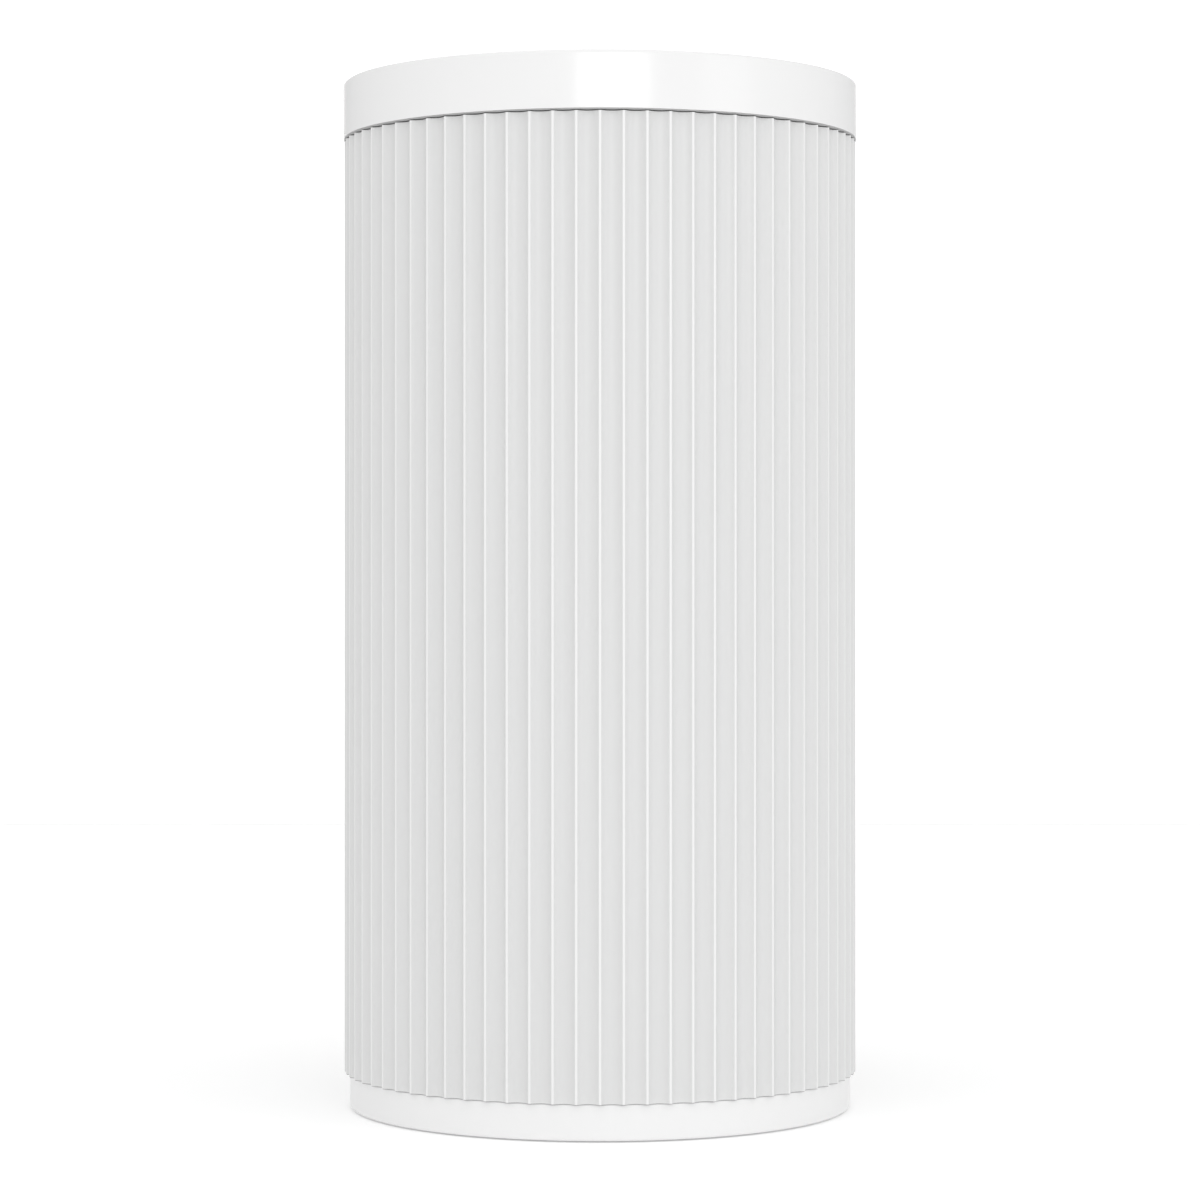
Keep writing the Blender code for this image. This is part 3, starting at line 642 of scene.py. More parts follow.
def door_wall():
    bottom, top = levels("intake_door")
    bm = fluted_wall(REAR, REAR_RIDGES, bottom, top)
    holders = bmesh.new()
    for low, high in map(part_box, numbered("door_magnet")):
        side = math.copysign(1.0, low.x)
        inside, outside = sorted((side * 92.0 * MM, side * 101.5 * MM))
        block(holders, (inside, low.y, low.z - 3 * MM), (outside, 33 * MM, high.z + 3 * MM))
    return carve(bm, holders, "UNION")


def door_slots(bm):
    rows = [SLOTS_FROM + row * (SLOT_LENGTH + SLOT_BRIDGE) for row in range(SLOT_ROWS)]
    angles = [REAR + (valley - (SLOTTED - 1) / 2) * PITCH for valley in range(SLOTTED)]
    return slotted(bm, angles, [(bottom, bottom + SLOT_LENGTH) for bottom in rows])


def notch_cutter():
    """The finger notch, as tall above the door's edge as below it, and the magnets' pockets."""
    cutter = bmesh.new()
    half, bottom = NOTCH
    top = 2 * levels("intake_door")[1] - bottom
    reach = 15 * MM
    edges = box_edges(cutter, (-half, RIDGE - reach, bottom), (half, RIDGE + reach, top))
    through = [edge for edge in edges if abs(edge.verts[0].co.y - edge.verts[1].co.y) > reach]
    rounded(cutter, through, NOTCH_CORNER, 6)
    gap = Vector((0.3, 0.3, 0.3)) * MM
    for low, high in map(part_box, numbered("door_magnet")):
        block(cutter, low - gap - Vector((0, 5 * MM, 0)), high + gap)
    return cutter


door = carve(door_slots(door_wall()), notch_cutter())
keep(door, "fluted_door", "door", SHELL, ["intake_door"], crease=28)

# %% [markdown]
# ## Lathe work
# Most other pieces are turned. A profile is a chain of wire edges in the XZ plane. Bevel with
# affect VERTICES rounds its corners while it is still a wire, each by its own radius, and one full
# spin with merged ends makes the solid. A profile point is a radius, a level and a rounding.

# A long straight wall next to a rounded corner needs holding rings near its ends. Without them the
# smooth shading of the corner leaks into the wall, and a reflection on it would be squeezed.

# %% Lathe helper
HOLD = 0.3 * MM
FINE = 0.4 * MM  # smaller roundings get two facets instead of four


def add_holds(bm):
    """Splits each long edge of a wire profile close to both of its ends."""
    for edge in bm.edges[:]:
        length = edge.calc_length()
        if length > 6 * HOLD:
            start, end = edge.verts
            bmesh.utils.edge_split(edge, start, HOLD / length)
            bmesh.utils.edge_split(edge, end, HOLD / (length - HOLD))


def turned(profile, steps=96, ring=True, centre=(0.0, 0.0)):
    bm = bmesh.new()
    points = [bm.verts.new((point[0], 0, point[1])) for point in profile]
    ends = points[1:] + points[:1] if ring else points[1:]
    for first, second in zip(points, ends):
        bm.edges.new((first, second))
    for vert, point in zip(points, profile):
        if len(point) > 2:
            rounded(bm, [vert], point[2], 2 if point[2] < FINE else 4, "VERTICES")
    add_holds(bm)
    spun(bm, bm.verts[:] + bm.edges[:], (0, 0, 0), 2 * math.pi, steps, use_merge=True)
    bmesh.ops.remove_doubles(bm, verts=bm.verts, dist=1e-6)
    bmesh.ops.translate(bm, verts=bm.verts, vec=(*centre, 0))
    bmesh.ops.recalc_face_normals(bm, faces=bm.faces)
    return bm


def tube(node, inner, rounding=0.3 * MM, steps=96):
    """A plain ring with the outer radius and the levels of a part, and a given bore."""
    bottom, top = levels(node)
    outer = radius_of(node)
    corners = ((outer, top), (outer, bottom), (inner, bottom), (inner, top))
    return turned([(*corner, rounding) for corner in corners], steps)


def disc(radius, bottom, top, rounding, steps):
    """A round plate with rounded rims."""
    profile = [(0, top), (radius, top, rounding), (radius, bottom, rounding), (0, bottom)]
    return turned(profile, steps, ring=False)


# %% [markdown]
# ## The top band
# The band is the one polished piece on the outside. Its wall is dead straight, its upper edge has a
# radius of about a millimetre, and its lower edge is sharp so that the reveal under it reads as a
# crisp dark line. Inside, a ledge carries the grille and a spigot drops into the shells.

# %% Band


def band():
    bottom, top = levels("top_band")
    outer = radius_of("top_band")
    edge = levels("front_shell")[1] + 0.9 * MM
    ledge = levels("outlet_grille")[0] - 0.3 * MM
    bore = 101.7 * MM
    spigot = 104.3 * MM
    profile = [
        (bore + 1.5 * MM, top, 0.5 * MM),
        (outer, top, 1.2 * MM),
        (outer, edge, 0.12 * MM),
        (spigot, edge),
        (spigot, bottom, 0.3 * MM),
        (bore, bottom, 0.3 * MM),
        (bore, ledge - 3 * MM),
        (97.5 * MM, ledge - 3 * MM, 0.3 * MM),
        (97.5 * MM, ledge, 0.3 * MM),
        (bore, ledge),
        (bore, top - 1.5 * MM, 0.3 * MM),
    ]
    return turned(profile, 192)


keep(band(), "smooth_band", "housing", BAND, ["top_band"])

# %% [markdown]
# A thin grey ring lies under the band, in the joint to the shells; its grey is painted shade. It can
# only be seen as the dark line over the flutes, and it takes the light out of the joint, so that the
# tops of the flutes fall into shade.

# %% Painted shade under the band


def painted_band_shade():
    top = levels("front_shell")[1] + 0.9 * MM
    bottom, outer, inner = top - 0.5 * MM, 110.1 * MM, 104.4 * MM
    return turned([(outer, top), (outer, bottom, 0.15 * MM), (inner, bottom), (inner, top)], 144)


# This ring's grey is painted shade: the dark line under the band.
keep(painted_band_shade(), "band_joint_shade", "housing", JOINT_SHADE)

# %% [markdown]
# ## The base
# Below the shells, the base pan shows only as a plain ring, a little smaller than the valleys, with
# a small radius at the floor. Underneath it is a flat plate with three countersunk screws and four
# rubber feet.

# %% Base pan, screws and feet
PAN_FLOOR = (2.4 * MM, 5.0 * MM)
SCREW_HOLE = 1.6 * MM
THREADS = 14


def pan():
    radius = radius_of("base_pan")
    rim = levels("base_pan")[0]
    shoulder = levels("front_shell")[0] - 0.3 * MM
    profile = [
        (0, PAN_FLOOR[1]),
        (101.2 * MM, PAN_FLOOR[1], 0.8 * MM),
        (101.2 * MM, 18 * MM, 0.3 * MM),
        (104.0 * MM, 18 * MM, 0.6 * MM),
        (104.0 * MM, shoulder),
        (radius, shoulder, 0.3 * MM),
        (radius, rim, 1.0 * MM),
        (103.0 * MM, rim, 0.3 * MM),
        (102.0 * MM, PAN_FLOOR[0], 0.4 * MM),
        (0, PAN_FLOOR[0]),
    ]
    return turned(profile, 160, ring=False)


def screw_holes():
    cutter = bmesh.new()
    for node in numbered("base_screw"):
        x, y = centre_of(node).xy
        rod((x, y, 0), (x, y, 8 * MM), SCREW_HOLE, bm=cutter)
    return cutter


keep(carve(pan(), screw_holes()), "base_ring", "housing", BASE, ["base_pan"])


def painted_base_shade():
    """A thin scalloped grey sheet in the joint between the base and the flutes above it, whose grey is
    painted shade: the scalloped shadow on top of the base ring.
    """
    joint = levels("front_shell")[0]
    bm = bmesh.new()
    fluted_plan(bm, FRONT - PITCH / 2, FLUTES)
    for vert in bm.verts:
        vert.co.xy *= 1 - 0.35 * MM / vert.co.xy.length
    drawn_to(bm, bm.edges, SHELL_INNER)
    bmesh.ops.translate(bm, verts=bm.verts, vec=(0, 0, joint - 0.28 * MM))
    raised(bm, 0.26 * MM)
    return bm


# The sheet's grey is painted shade: the scalloped shadow along the top of the base ring.
keep(painted_base_shade(), "scalloped_joint_shade", "housing", JOINT_SHADE)


def cross_recess(bm, place, level):
    """Cuts two crossed bars into a screw head, one after the other, so the cutters never overlap."""
    for size in ((3.2, 0.75), (0.75, 3.2)):
        half = Vector((size[0] / 2, size[1] / 2, 0.7)) * MM
        middle = Vector((place.x, place.y, level))
        bm = carve(bm, block(bmesh.new(), middle - half, middle + half))
    return bm


def screw(node, head_up):
    low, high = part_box(node)
    place = (low + high) / 2
    head = high.z if head_up else low.z
    seat = head - 1.2 * MM if head_up else head + 1.2 * MM
    tip = low.z if head_up else high.z
    profile = [(0, head), (2.8 * MM, head, 0.7 * MM), (2.8 * MM, seat, 0.15 * MM), (1.2 * MM, seat)]
    for turn in range(THREADS):
        for share, radius in ((0.0, 1.0), (0.5, 1.25)):
            level = seat + (tip - seat) * (0.1 + 0.85 * (turn + share) / THREADS)
            profile.append((radius * MM, level))
    profile += [(0.5 * MM, tip), (0, tip)]
    return cross_recess(turned(profile, 20, ring=False, centre=(place.x, place.y)), place, head)


for kind, head_up in (("base_screw", False), ("duct_screw", True)):
    for node in numbered(kind):
        keep(screw(node, head_up), f"{node}_cross_head", "housing", STEEL, [node])


def foot(node):
    bottom, top = levels(node)
    radius = radius_of(node)
    place = centre_of(node)
    profile = [(0, top), (radius, top, 0.3 * MM), (radius, bottom, 0.6 * MM)]
    for groove in (6.2, 4.4, 2.6):
        depth = bottom + 0.35 * MM
        profile += [((groove + 0.3) * MM, bottom), (groove * MM, depth), ((groove - 0.3) * MM, bottom)]
    profile.append((0, bottom))
    return turned(profile, 48, ring=False, centre=(place.x, place.y))


for node in numbered("foot"):
    keep(foot(node), f"{node}_pad", "housing", RUBBER, [node])

# %% [markdown]
# ## Rear skirt and mains inlet
# A fixed strip of flutes closes the rear below the door. It has a window for the mains inlet and
# four short slots through which the air sensor breathes. The inlet's hollow is the usual figure
# eight: two overlapping round bores with a flat bridge between them.

# %% Skirt and inlet
SENSOR_ANGLE = math.radians(55)


def skirt():
    bm = fluted_wall(REAR, REAR_RIDGES, *levels("rear_skirt"))
    cutter = bmesh.new()
    low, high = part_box("mains_inlet")
    gap = Vector((0.3, 0, 0.3)) * MM
    block(cutter, low - gap - Vector((0, 2 * MM, 0)), high + gap + Vector((0, 10 * MM, 0)))
    angles = [SENSOR_ANGLE + valley * PITCH for valley in (-1.5, -0.5, 0.5, 1.5)]
    return slotted(carve(bm, cutter), angles, [(20 * MM, 34 * MM)])


keep(skirt(), "fluted_skirt", "housing", SHELL, ["rear_skirt"], crease=28)


def inlet():
    low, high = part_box("mains_inlet")
    cutter = bmesh.new()
    level = (low.z + high.z) / 2
    back, mouth = high.y - 12 * MM, high.y + 2 * MM
    pin = centre_of("inlet_pin_right").x
    for x in (-pin, pin):
        rod((x, mouth, level), (x, back, level), 4.2 * MM, 40, bm=cutter)
    half = 3.4 * MM
    bridge = block(bmesh.new(), (-pin, back, level - half), (pin, mouth, level + half))
    return carve(carve(block(bmesh.new(), low, high, 0.4 * MM), cutter), bridge)


keep(inlet(), "figure_eight_inlet", "housing", INLET, ["mains_inlet"])


def pin(node):
    low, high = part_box(node)
    middle = (low + high) / 2
    radius = (high.z - low.z) / 2
    length = high.y - low.y
    profile = [(0, length / 2), (radius, length / 2, radius * 0.8), (radius, -length / 2), (0, -length / 2)]
    bm = turned(profile, 24, ring=False)
    turn = Matrix.Translation(middle) @ Matrix.Rotation(-math.pi / 2, 4, "X")
    bmesh.ops.transform(bm, matrix=turn, verts=bm.verts)
    return bm


for side in ("right", "left"):
    keep(pin(f"inlet_pin_{side}"), f"round_pin_{side}", "housing", BRASS, [f"inlet_pin_{side}"])

# %% [markdown]
# ## The outlet grille
# The grille repeats the column's rhythm in plan: 48 fins between an outer and an inner ring. One
# fin is a block with rounded edges, and a spin with duplicates sets out the rest. The two rings are
# turned, and everything is joined into one solid.

# %% Grille
FINS = 48
FIN_WIDTH = 2.2 * MM
GRILLE_BORE = 48.0 * MM
SLOT_REACH = (53.0 * MM, 93.0 * MM)


def grille():
    bottom, top = levels("outlet_grille")
    outer = radius_of("outlet_grille")
    near, far = SLOT_REACH
    rings = []
    for wide, narrow in ((outer, far), (near, GRILLE_BORE)):
        corners = ((wide, top), (wide, bottom), (narrow, bottom), (narrow, top))
        rings.append(turned([(*corner, 0.5 * MM) for corner in corners], 144))
    low = (near - 1.5 * MM, -FIN_WIDTH / 2, bottom + 0.3 * MM)
    high = (far + 1.5 * MM, FIN_WIDTH / 2, top - 0.35 * MM)
    fins = block(bmesh.new(), low, high, 0.7 * MM, 3)
    repeated(fins, FINS)
    return carve(carve(rings[0], fins, "UNION"), rings[1], "UNION")


keep(grille(), "radial_grille", "housing", GRILLE, ["outlet_grille"])

# %% [markdown]
# ## Panel, keys and light ring
# In the middle of the grille sits a polished panel with four keys: power in the centre and three
# small ones in front of it. Each key is slightly dished for the fingertip. A frosted ring round
# the panel lights up. The signs on the keys are plain shapes that any appliance has: a ring with a
# bar, three bars, a clock's hands and a crescent.

# %% Panel and ring
KEYS = ("power", "speed", "timer", "night")
KEY_FLANGE = 1.2 * MM
KEY_GAP = 0.4 * MM


def key_holes(bottom, top):
    cutter = bmesh.new()
    for key in KEYS:
        x, y = centre_of(f"{key}_key").xy
        radius = radius_of(f"{key}_key") - KEY_FLANGE + KEY_GAP
        rod((x, y, bottom - 5 * MM), (x, y, top + 5 * MM), radius, 64, bm=cutter)
    return cutter


def panel():
    bottom, top = levels("control_panel")
    radius = radius_of("control_panel")
    profile = [(0, top), (radius, top, 0.5 * MM), (radius, bottom, 0.2 * MM), (0, bottom)]
    return carve(turned(profile, 128, ring=False), key_holes(bottom, top))


keep(panel(), "polished_panel", "housing", PANEL, ["control_panel"])
keep(tube("light_ring", 45.3 * MM, 0.5 * MM, 128), "frosted_ring", "housing", FROSTED, ["light_ring"])

# %% Keys


def key_cap(node):
    bottom, top = levels(node)
    place = centre_of(node)
    flange = radius_of(node)
    cap = flange - KEY_FLANGE
    dish = 0.35 * MM
    profile = [
        (0, top - dish),
        (cap * 0.35, top - dish * 0.85),
        (cap * 0.7, top - dish * 0.4),
        (cap - 0.5 * MM, top, 0.3 * MM),
        (cap, top - 0.6 * MM, 0.3 * MM),
        (cap, top - 3.8 * MM),
        (flange, top - 3.8 * MM, 0.2 * MM),
        (flange, top - 5.4 * MM, 0.2 * MM),
        (2.2 * MM, top - 5.4 * MM),
        (2.2 * MM, bottom, 0.3 * MM),
        (0, bottom),
    ]
    return turned(profile, 64, ring=False, centre=(place.x, place.y))


for key in KEYS:
    keep(key_cap(f"{key}_key"), f"dished_{key}_key", f"{key}_push", KEY, [f"{key}_key"])

# %% Signs on the keys
INK_THICKNESS = 0.12 * MM


def bar(bm, x, y, width, length, turn=0.0):
    size = Matrix.Diagonal((width, length, INK_THICKNESS, 1))
    place = Matrix.Rotation(turn, 4, "Z") @ Matrix.Translation((x, y, 0))
    bmesh.ops.create_cube(bm, size=1.0, matrix=place @ size)


def ring_sign(bm, radius, width, start, angle, steps):
    """An arc of printed line: a small upright face spun about the middle of the key."""
    corners = ((-1, -1), (1, -1), (1, 1), (-1, 1))
    verts = []
    for side, level in corners:
        place = polar(radius + side * width / 2, start, level * INK_THICKNESS / 2)
        verts.append(bm.verts.new(place))
    geometry = [bm.faces.new(verts)]
    full = angle > ALL_ROUND
    if full:
        bmesh.ops.delete(bm, geom=geometry, context="FACES_ONLY")
        geometry = verts + bm.edges[:]
    spun(bm, geometry, (0, 0, 0), angle, steps, use_merge=full)


def power_sign(bm, size):
    ring_sign(bm, size, size * 0.16, math.radians(118), math.radians(304), 40)
    bar(bm, 0, size * 0.78, size * 0.16, size * 0.8)


def speed_sign(bm, size):
    for step in (-1, 0, 1):
        length = size * (1.0 + 0.45 * step)
        bar(bm, step * size * 0.6, (length - size * 1.45) / 2, size * 0.26, length)


def timer_sign(bm, size):
    ring_sign(bm, size, size * 0.16, 0, 2 * math.pi, 40)
    bar(bm, 0, size * 0.27, size * 0.15, size * 0.6)
    bar(bm, 0, size * 0.2, size * 0.15, size * 0.45, math.radians(-110))


def night_sign(bm, size):
    """A crescent: an arc whose line swells in the middle and closes to points at its ends."""
    start, swing = math.radians(50), math.radians(260)
    ring_sign(bm, size, size * 0.16, start, swing, 32)
    for vert in bm.verts:
        angle = math.atan2(vert.co.y, vert.co.x) % (2 * math.pi)
        share = math.sin(math.pi * min(1.0, max(0.0, (angle - start) / swing)))
        inside = vert.co.xy.length < size
        radius = size * 1.08 if not inside else size * (1.06 - 0.62 * share)
        vert.co.xy = vert.co.xy.normalized() * radius


SIGNS = {
    "power": (power_sign, 3.4), "speed": (speed_sign, 2.2),
    "timer": (timer_sign, 2.4), "night": (night_sign, 2.4),
}
for key, (draw, size) in SIGNS.items():
    place = centre_of(f"{key}_key")
    top = levels(f"{key}_key")[1]
    sign = bmesh.new()
    draw(sign, size * MM)
    bmesh.ops.translate(sign, verts=sign.verts, vec=(place.x, place.y, top - 0.30 * MM))
    keep(sign, f"{key}_sign", f"{key}_push", INK)

# %% [markdown]
# ## Inside the outlet
# Looking down through the grille one sees the bowl that holds the control board, the duct's wall,
# the vanes of the motor mount and, below them, the impeller. The bowl and duct are turned.

# %% Bowl, duct and deck


def bowl():
    bottom, top = levels("control_bowl")
    wide = radius_of("control_bowl")
    profile = [
        (0, bottom + 2 * MM),
        (25 * MM, bottom + 2 * MM, 2 * MM),
        (38 * MM, bottom + 8.5 * MM, 2 * MM),
        (41.8 * MM, bottom + 23 * MM),
        (42.6 * MM, top, 0.3 * MM),
        (44.8 * MM, top, 0.3 * MM),
        (44.8 * MM, 430 * MM),
        (wide, 430 * MM, 0.3 * MM),
        (wide, 427.4 * MM, 0.3 * MM),
        (44 * MM, 427.4 * MM),
        (40 * MM, bottom + 7 * MM, 3 * MM),
        (26 * MM, bottom, 3 * MM),
        (0, bottom),
    ]
    return turned(profile, 96, ring=False)


HARNESS_ANGLE = math.radians(225)
HARNESS_HOLE = 3.6 * MM


def harness_point(distance, level):
    return polar(distance * MM, HARNESS_ANGLE, level * MM)


def service_cuts():
    """The notch for the harness and the three screw holes, through the deck and the flange."""
    cutter = rod(harness_point(101, 280), harness_point(101, 300), HARNESS_HOLE)
    for node in numbered("duct_screw"):
        x, y = centre_of(node).xy
        rod((x, y, 280 * MM), (x, y, 300 * MM), SCREW_HOLE, bm=cutter)
    return cutter


bowl_hole = rod(harness_point(46, 408.8), harness_point(23, 411.6), HARNESS_HOLE)
keep(carve(bowl(), bowl_hole), "turned_bowl", "housing", GRILLE, ["control_bowl"])


def duct():
    bottom, top = levels("blower_duct")
    flange = radius_of("blower_duct")
    step = levels("motor_mount")[1] - 12 * MM - 0.3 * MM
    profile = [
        (96 * MM, top, 0.3 * MM),
        (96 * MM, bottom + 3.2 * MM, 1.5 * MM),
        (flange, bottom + 3.2 * MM, 0.3 * MM),
        (flange, bottom, 0.3 * MM),
        (91 * MM, bottom),
        (91 * MM, step, 0.3 * MM),
        (93.5 * MM, step),
        (93.5 * MM, top, 0.3 * MM),
    ]
    return turned(profile, 128)


duct_hole = rod(harness_point(103, 393.9), harness_point(84, 405.7), 3.9 * MM)
duct_body = carve(carve(duct(), service_cuts()), duct_hole)
keep(duct_body, "turned_duct", "housing", FRAME, ["blower_duct"])


def deck():
    bottom = levels("fan_deck")[0]
    rim = radius_of("fan_deck")
    profile = [
        (rim, bottom + 4 * MM, 0.4 * MM),
        (60 * MM, bottom + 4 * MM, 1.5 * MM),
        (54.5 * MM, bottom + 11 * MM, 0.5 * MM),
        (52 * MM, bottom + 11 * MM, 0.8 * MM),
        (53.6 * MM, bottom + 5 * MM, 3 * MM),
        (62 * MM, bottom, 2 * MM),
        (rim, bottom, 0.4 * MM),
    ]
    return turned(profile, 128)


keep(carve(deck(), service_cuts()), "turned_deck", "housing", FRAME, ["fan_deck"])

# %% [markdown]
# ## The impeller
# A backward-curved impeller: a cup in the middle for the motor, a back plate above, a ring with the
# inlet collar below, and nine blades between. A blade is one upright edge spun about a point off
# the axis, which bends it, then given its thickness with Solidify's operator.

# %% Impeller
BLADES = 9
BLADE_EYE = 46.0 * MM


def swept(bm, near, far, turn, bend, thickness, bottom, top, count):
    """One curved blade from radius near to far, swept by an angle, and its copies round the axis."""
    start = Vector((near, 0, 0))
    finish = polar(far, math.radians(turn))
    middle = (start + finish) / 2
    side = -math.copysign(1.0, turn)
    across = side * Vector((finish.y - start.y, start.x - finish.x, 0)).normalized()
    centre = middle + across * math.sqrt(bend**2 - ((finish - start).length / 2) ** 2)
    angle = (start - centre).xy.angle_signed((finish - centre).xy)
    ends = [bm.verts.new((start.x, start.y, level)) for level in (bottom, top)]
    spun(bm, [bm.edges.new(ends)], centre, -angle, 10)
    bmesh.ops.solidify(bm, geom=bm.faces[:], thickness=thickness)
    bmesh.ops.recalc_face_normals(bm, faces=bm.faces)
    repeated(bm, count)


def impeller():
    rim = radius_of("impeller")
    low = levels("rotor_cup")[0] - 2.5 * MM
    high = levels("impeller")[1]
    bore = 3.3 * MM
    hub = turned([
        (bore, low + 2.2 * MM),
        (34 * MM, low + 2.2 * MM, 0.5 * MM),
        (34 * MM, high, 0.3 * MM),
        (rim, high, 0.8 * MM),
        (rim, high - 2.2 * MM, 0.8 * MM),
        (36.2 * MM, high - 2.2 * MM, 2 * MM),
        (36.2 * MM, low, 1.5 * MM),
        (bore, low),
    ])
    collar = turned([
        (rim, 308.2 * MM, 0.8 * MM),
        (rim, 306 * MM, 0.8 * MM),
        (62.5 * MM, 306 * MM, 1.5 * MM),
        (58.9 * MM, 301.5 * MM, 1 * MM),
        (58.9 * MM, 293.5 * MM, 0.3 * MM),
        (56.7 * MM, 293.5 * MM, 0.3 * MM),
        (56.7 * MM, 302.5 * MM, 1.5 * MM),
        (61 * MM, 308.2 * MM, 1.5 * MM),
    ])
    blades = bmesh.new()
    levels_of_blade = (307.1 * MM, high - 1.1 * MM)
    swept(blades, BLADE_EYE, rim - 1.0 * MM, -40, 62 * MM, 2 * MM, *levels_of_blade, BLADES)
    return carve(carve(hub, blades, "UNION"), collar, "UNION")


keep(impeller(), "bladed_impeller", "rotor", FAN, ["impeller"])

# %% [markdown]
# ## The motor
# The motor is an outrunner: a steel cup with a magnet ring turns round nine wound teeth, and the
# mount holds the teeth from above on a tube. The mount's seven vanes are swept the other way from
# the blades, which straightens the air. All of it is lathe work, except the vanes and the coils.
# A coil is a row of thin rounded slabs along its tooth, one for each layer of wire.

# %% Motor mount
VANES = 7
HUB = 32.0 * MM


def mount():
    low, high = levels("motor_mount")
    bottom, outer = high - 12 * MM, radius_of("motor_mount")
    inner = outer - 3.4 * MM
    hub = turned([
        (0, high),
        (HUB, high, 1.5 * MM),
        (HUB, bottom, 1.0 * MM),
        (10.5 * MM, bottom, 0.8 * MM),
        (10.5 * MM, low, 0.3 * MM),
        (8.1 * MM, low, 0.3 * MM),
        (8.1 * MM, bottom - 1 * MM),
        (0, bottom - 1 * MM),
    ], ring=False)
    rounding = 0.5 * MM
    corners = ((outer, high), (outer, bottom), (inner, bottom), (inner, high))
    ring = turned([(*corner, rounding) for corner in corners], 128)
    vanes = bmesh.new()
    near, far = HUB - 1 * MM, inner + 1 * MM
    swept(vanes, near, far, 24, 81 * MM, 2.6 * MM, bottom + 1 * MM, high - 1 * MM, VANES)
    return carve(carve(hub, vanes, "UNION"), ring, "UNION")


keep(mount(), "vaned_mount", "housing", FRAME, ["motor_mount"])

# %% Turned motor parts
SHAFT = 3.0 * MM
BORE = 3.3 * MM


def cup():
    bottom, top = levels("rotor_cup")
    outer = radius_of("rotor_cup")
    inner = outer - 2.1 * MM
    floor = bottom + 2.2 * MM
    return turned([
        (BORE, floor), (inner, floor, 0.8 * MM), (inner, top, 0.3 * MM),
        (outer, top, 0.3 * MM), (outer, bottom, 1.8 * MM), (BORE, bottom),
    ], 64)


shaft = disc(SHAFT, *levels("motor_shaft"), 0.4 * MM, 32)
keep(shaft, "turned_shaft", "rotor", STEEL, ["motor_shaft"])
keep(cup(), "drawn_cup", "rotor", STEEL, ["rotor_cup"])
keep(tube("rotor_magnet", 28.6 * MM, 0.3 * MM, 64), "magnet_ring", "rotor", FERRITE, ["rotor_magnet"])
for row in ("lower", "upper"):
    node = f"{row}_bearing"
    keep(tube(node, BORE, 0.3 * MM, 40), f"{node}_ring", "housing", STEEL, [node])

# %% Coils
TEETH = 9
COIL_LAYERS = 12
LAYER = 0.7 * MM


def coils():
    bottom, top = levels("stator")
    bm = bmesh.new()
    for layer in range(COIL_LAYERS):
        near = 15.9 * MM + layer * LAYER
        half = 3.5 * MM + layer * 0.06 * MM
        low = (near, -half, bottom - 1.2 * MM)
        high = (near + LAYER, half, top + 1.2 * MM)
        block(bm, low, high, 0.3 * MM)
    repeated(bm, TEETH)
    return bm


keep(coils(), "copper_coils", "housing", COPPER, merge=False)

# %% [markdown]
# ## Boards
# In the frame a board and its components are one solid. Here they are separate pieces, each in its
# own finish: a green board with rounded corners, a transformer with a taped winding in a ferrite
# core, a sleeved capacitor, a finned heat sink, and the four switches under the keys.

# %% Power board
BOARD_TOP = 13.6 * MM


def small_block(low, high, rounding=0.4 * MM, bm=None):
    """A block from corners that are given in millimetres."""
    return block(bm or bmesh.new(), Vector(low) * MM, Vector(high) * MM, rounding)


board_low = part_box("power_board")[0]
board_high = (-board_low.x, 50 * MM, BOARD_TOP)
green_board = block(bmesh.new(), board_low, board_high, 0.2 * MM)
keep(green_board, "green_power_board", "housing", BOARD, ["power_board"])
keep(small_block((-12, -15, 13.6), (18, 1, 32)), "transformer_core", "housing", FERRITE)
winding = small_block((-7, -20, 15.5), (13, 6, 30), 2 * MM)
keep(winding, "taped_winding", "housing", TAPE)

cap_profile = [
    (0, 32 * MM), (6.4 * MM, 32 * MM), (7.0 * MM, 33 * MM, 0.4 * MM), (8 * MM, 32.4 * MM, 0.6 * MM),
    (8 * MM, 18 * MM, 0.4 * MM), (7.5 * MM, 17.3 * MM, 0.4 * MM), (8 * MM, 16.6 * MM, 0.4 * MM),
    (8 * MM, 13.6 * MM, 0.4 * MM), (0, 13.6 * MM),
]
capacitor = turned(cap_profile, 48, ring=False, centre=(34 * MM, -12 * MM))
keep(capacitor, "sleeved_capacitor", "housing", INLET)

heat_sink = small_block((-40, 30, 13.6), (0, 31.4, 30), 0.2 * MM)
for fin in range(9):
    x = -39.6 + 4.8 * fin
    small_block((x, 31, 15), (x + 0.9, 34, 30), 0.2 * MM, heat_sink)
keep(heat_sink, "finned_heat_sink", "housing", STEEL, merge=False)

chips = bmesh.new()
for x, y, wide, deep, tall in (
    (-44, -24, 8, 12, 6), (-44, -8, 8, 10, 6), (24, 8, 14, 9, 5), (30, 24, 12, 7, 9),
    (-30, 8, 10, 6, 3), (-28, -20, 6, 6, 3), (8, 20, 9, 9, 4), (12, 38, 16, 6, 8),
):
    small_block((x, y, 13.6), (x + wide, y + deep, 13.6 + tall), bm=chips)
keep(chips, "board_components", "housing", INLET, merge=False)

# %% Control board and its switches
BOARD_DISC = (423 * MM, 424.6 * MM)


control_disc = disc(radius_of("control_board"), *BOARD_DISC, 0.2 * MM, 64)
keep(control_disc, "green_control_board", "housing", BOARD, ["control_board"])
switch_top = levels("control_board")[1]
cases, plungers = bmesh.new(), bmesh.new()
for key in KEYS:
    x, y = centre_of(f"{key}_key").xy
    half, base = 3 * MM, BOARD_DISC[1]
    top = (x + half, y + half, switch_top - 1.2 * MM)
    block(cases, (x - half, y - half, base), top, 0.3 * MM)
    rod((x, y, base), (x, y, switch_top), 1.7 * MM, bm=plungers)
keep(cases, "switch_cases", "housing", STEEL, merge=False)
keep(plungers, "switch_plungers", "housing", INLET)

# %% [markdown]
# ## Chassis
# A curved wall stands round the front of the filter and ends in two square posts, which carry the
# steel strips for the door's magnets. The tray below it rests on three posts, one over each screw.

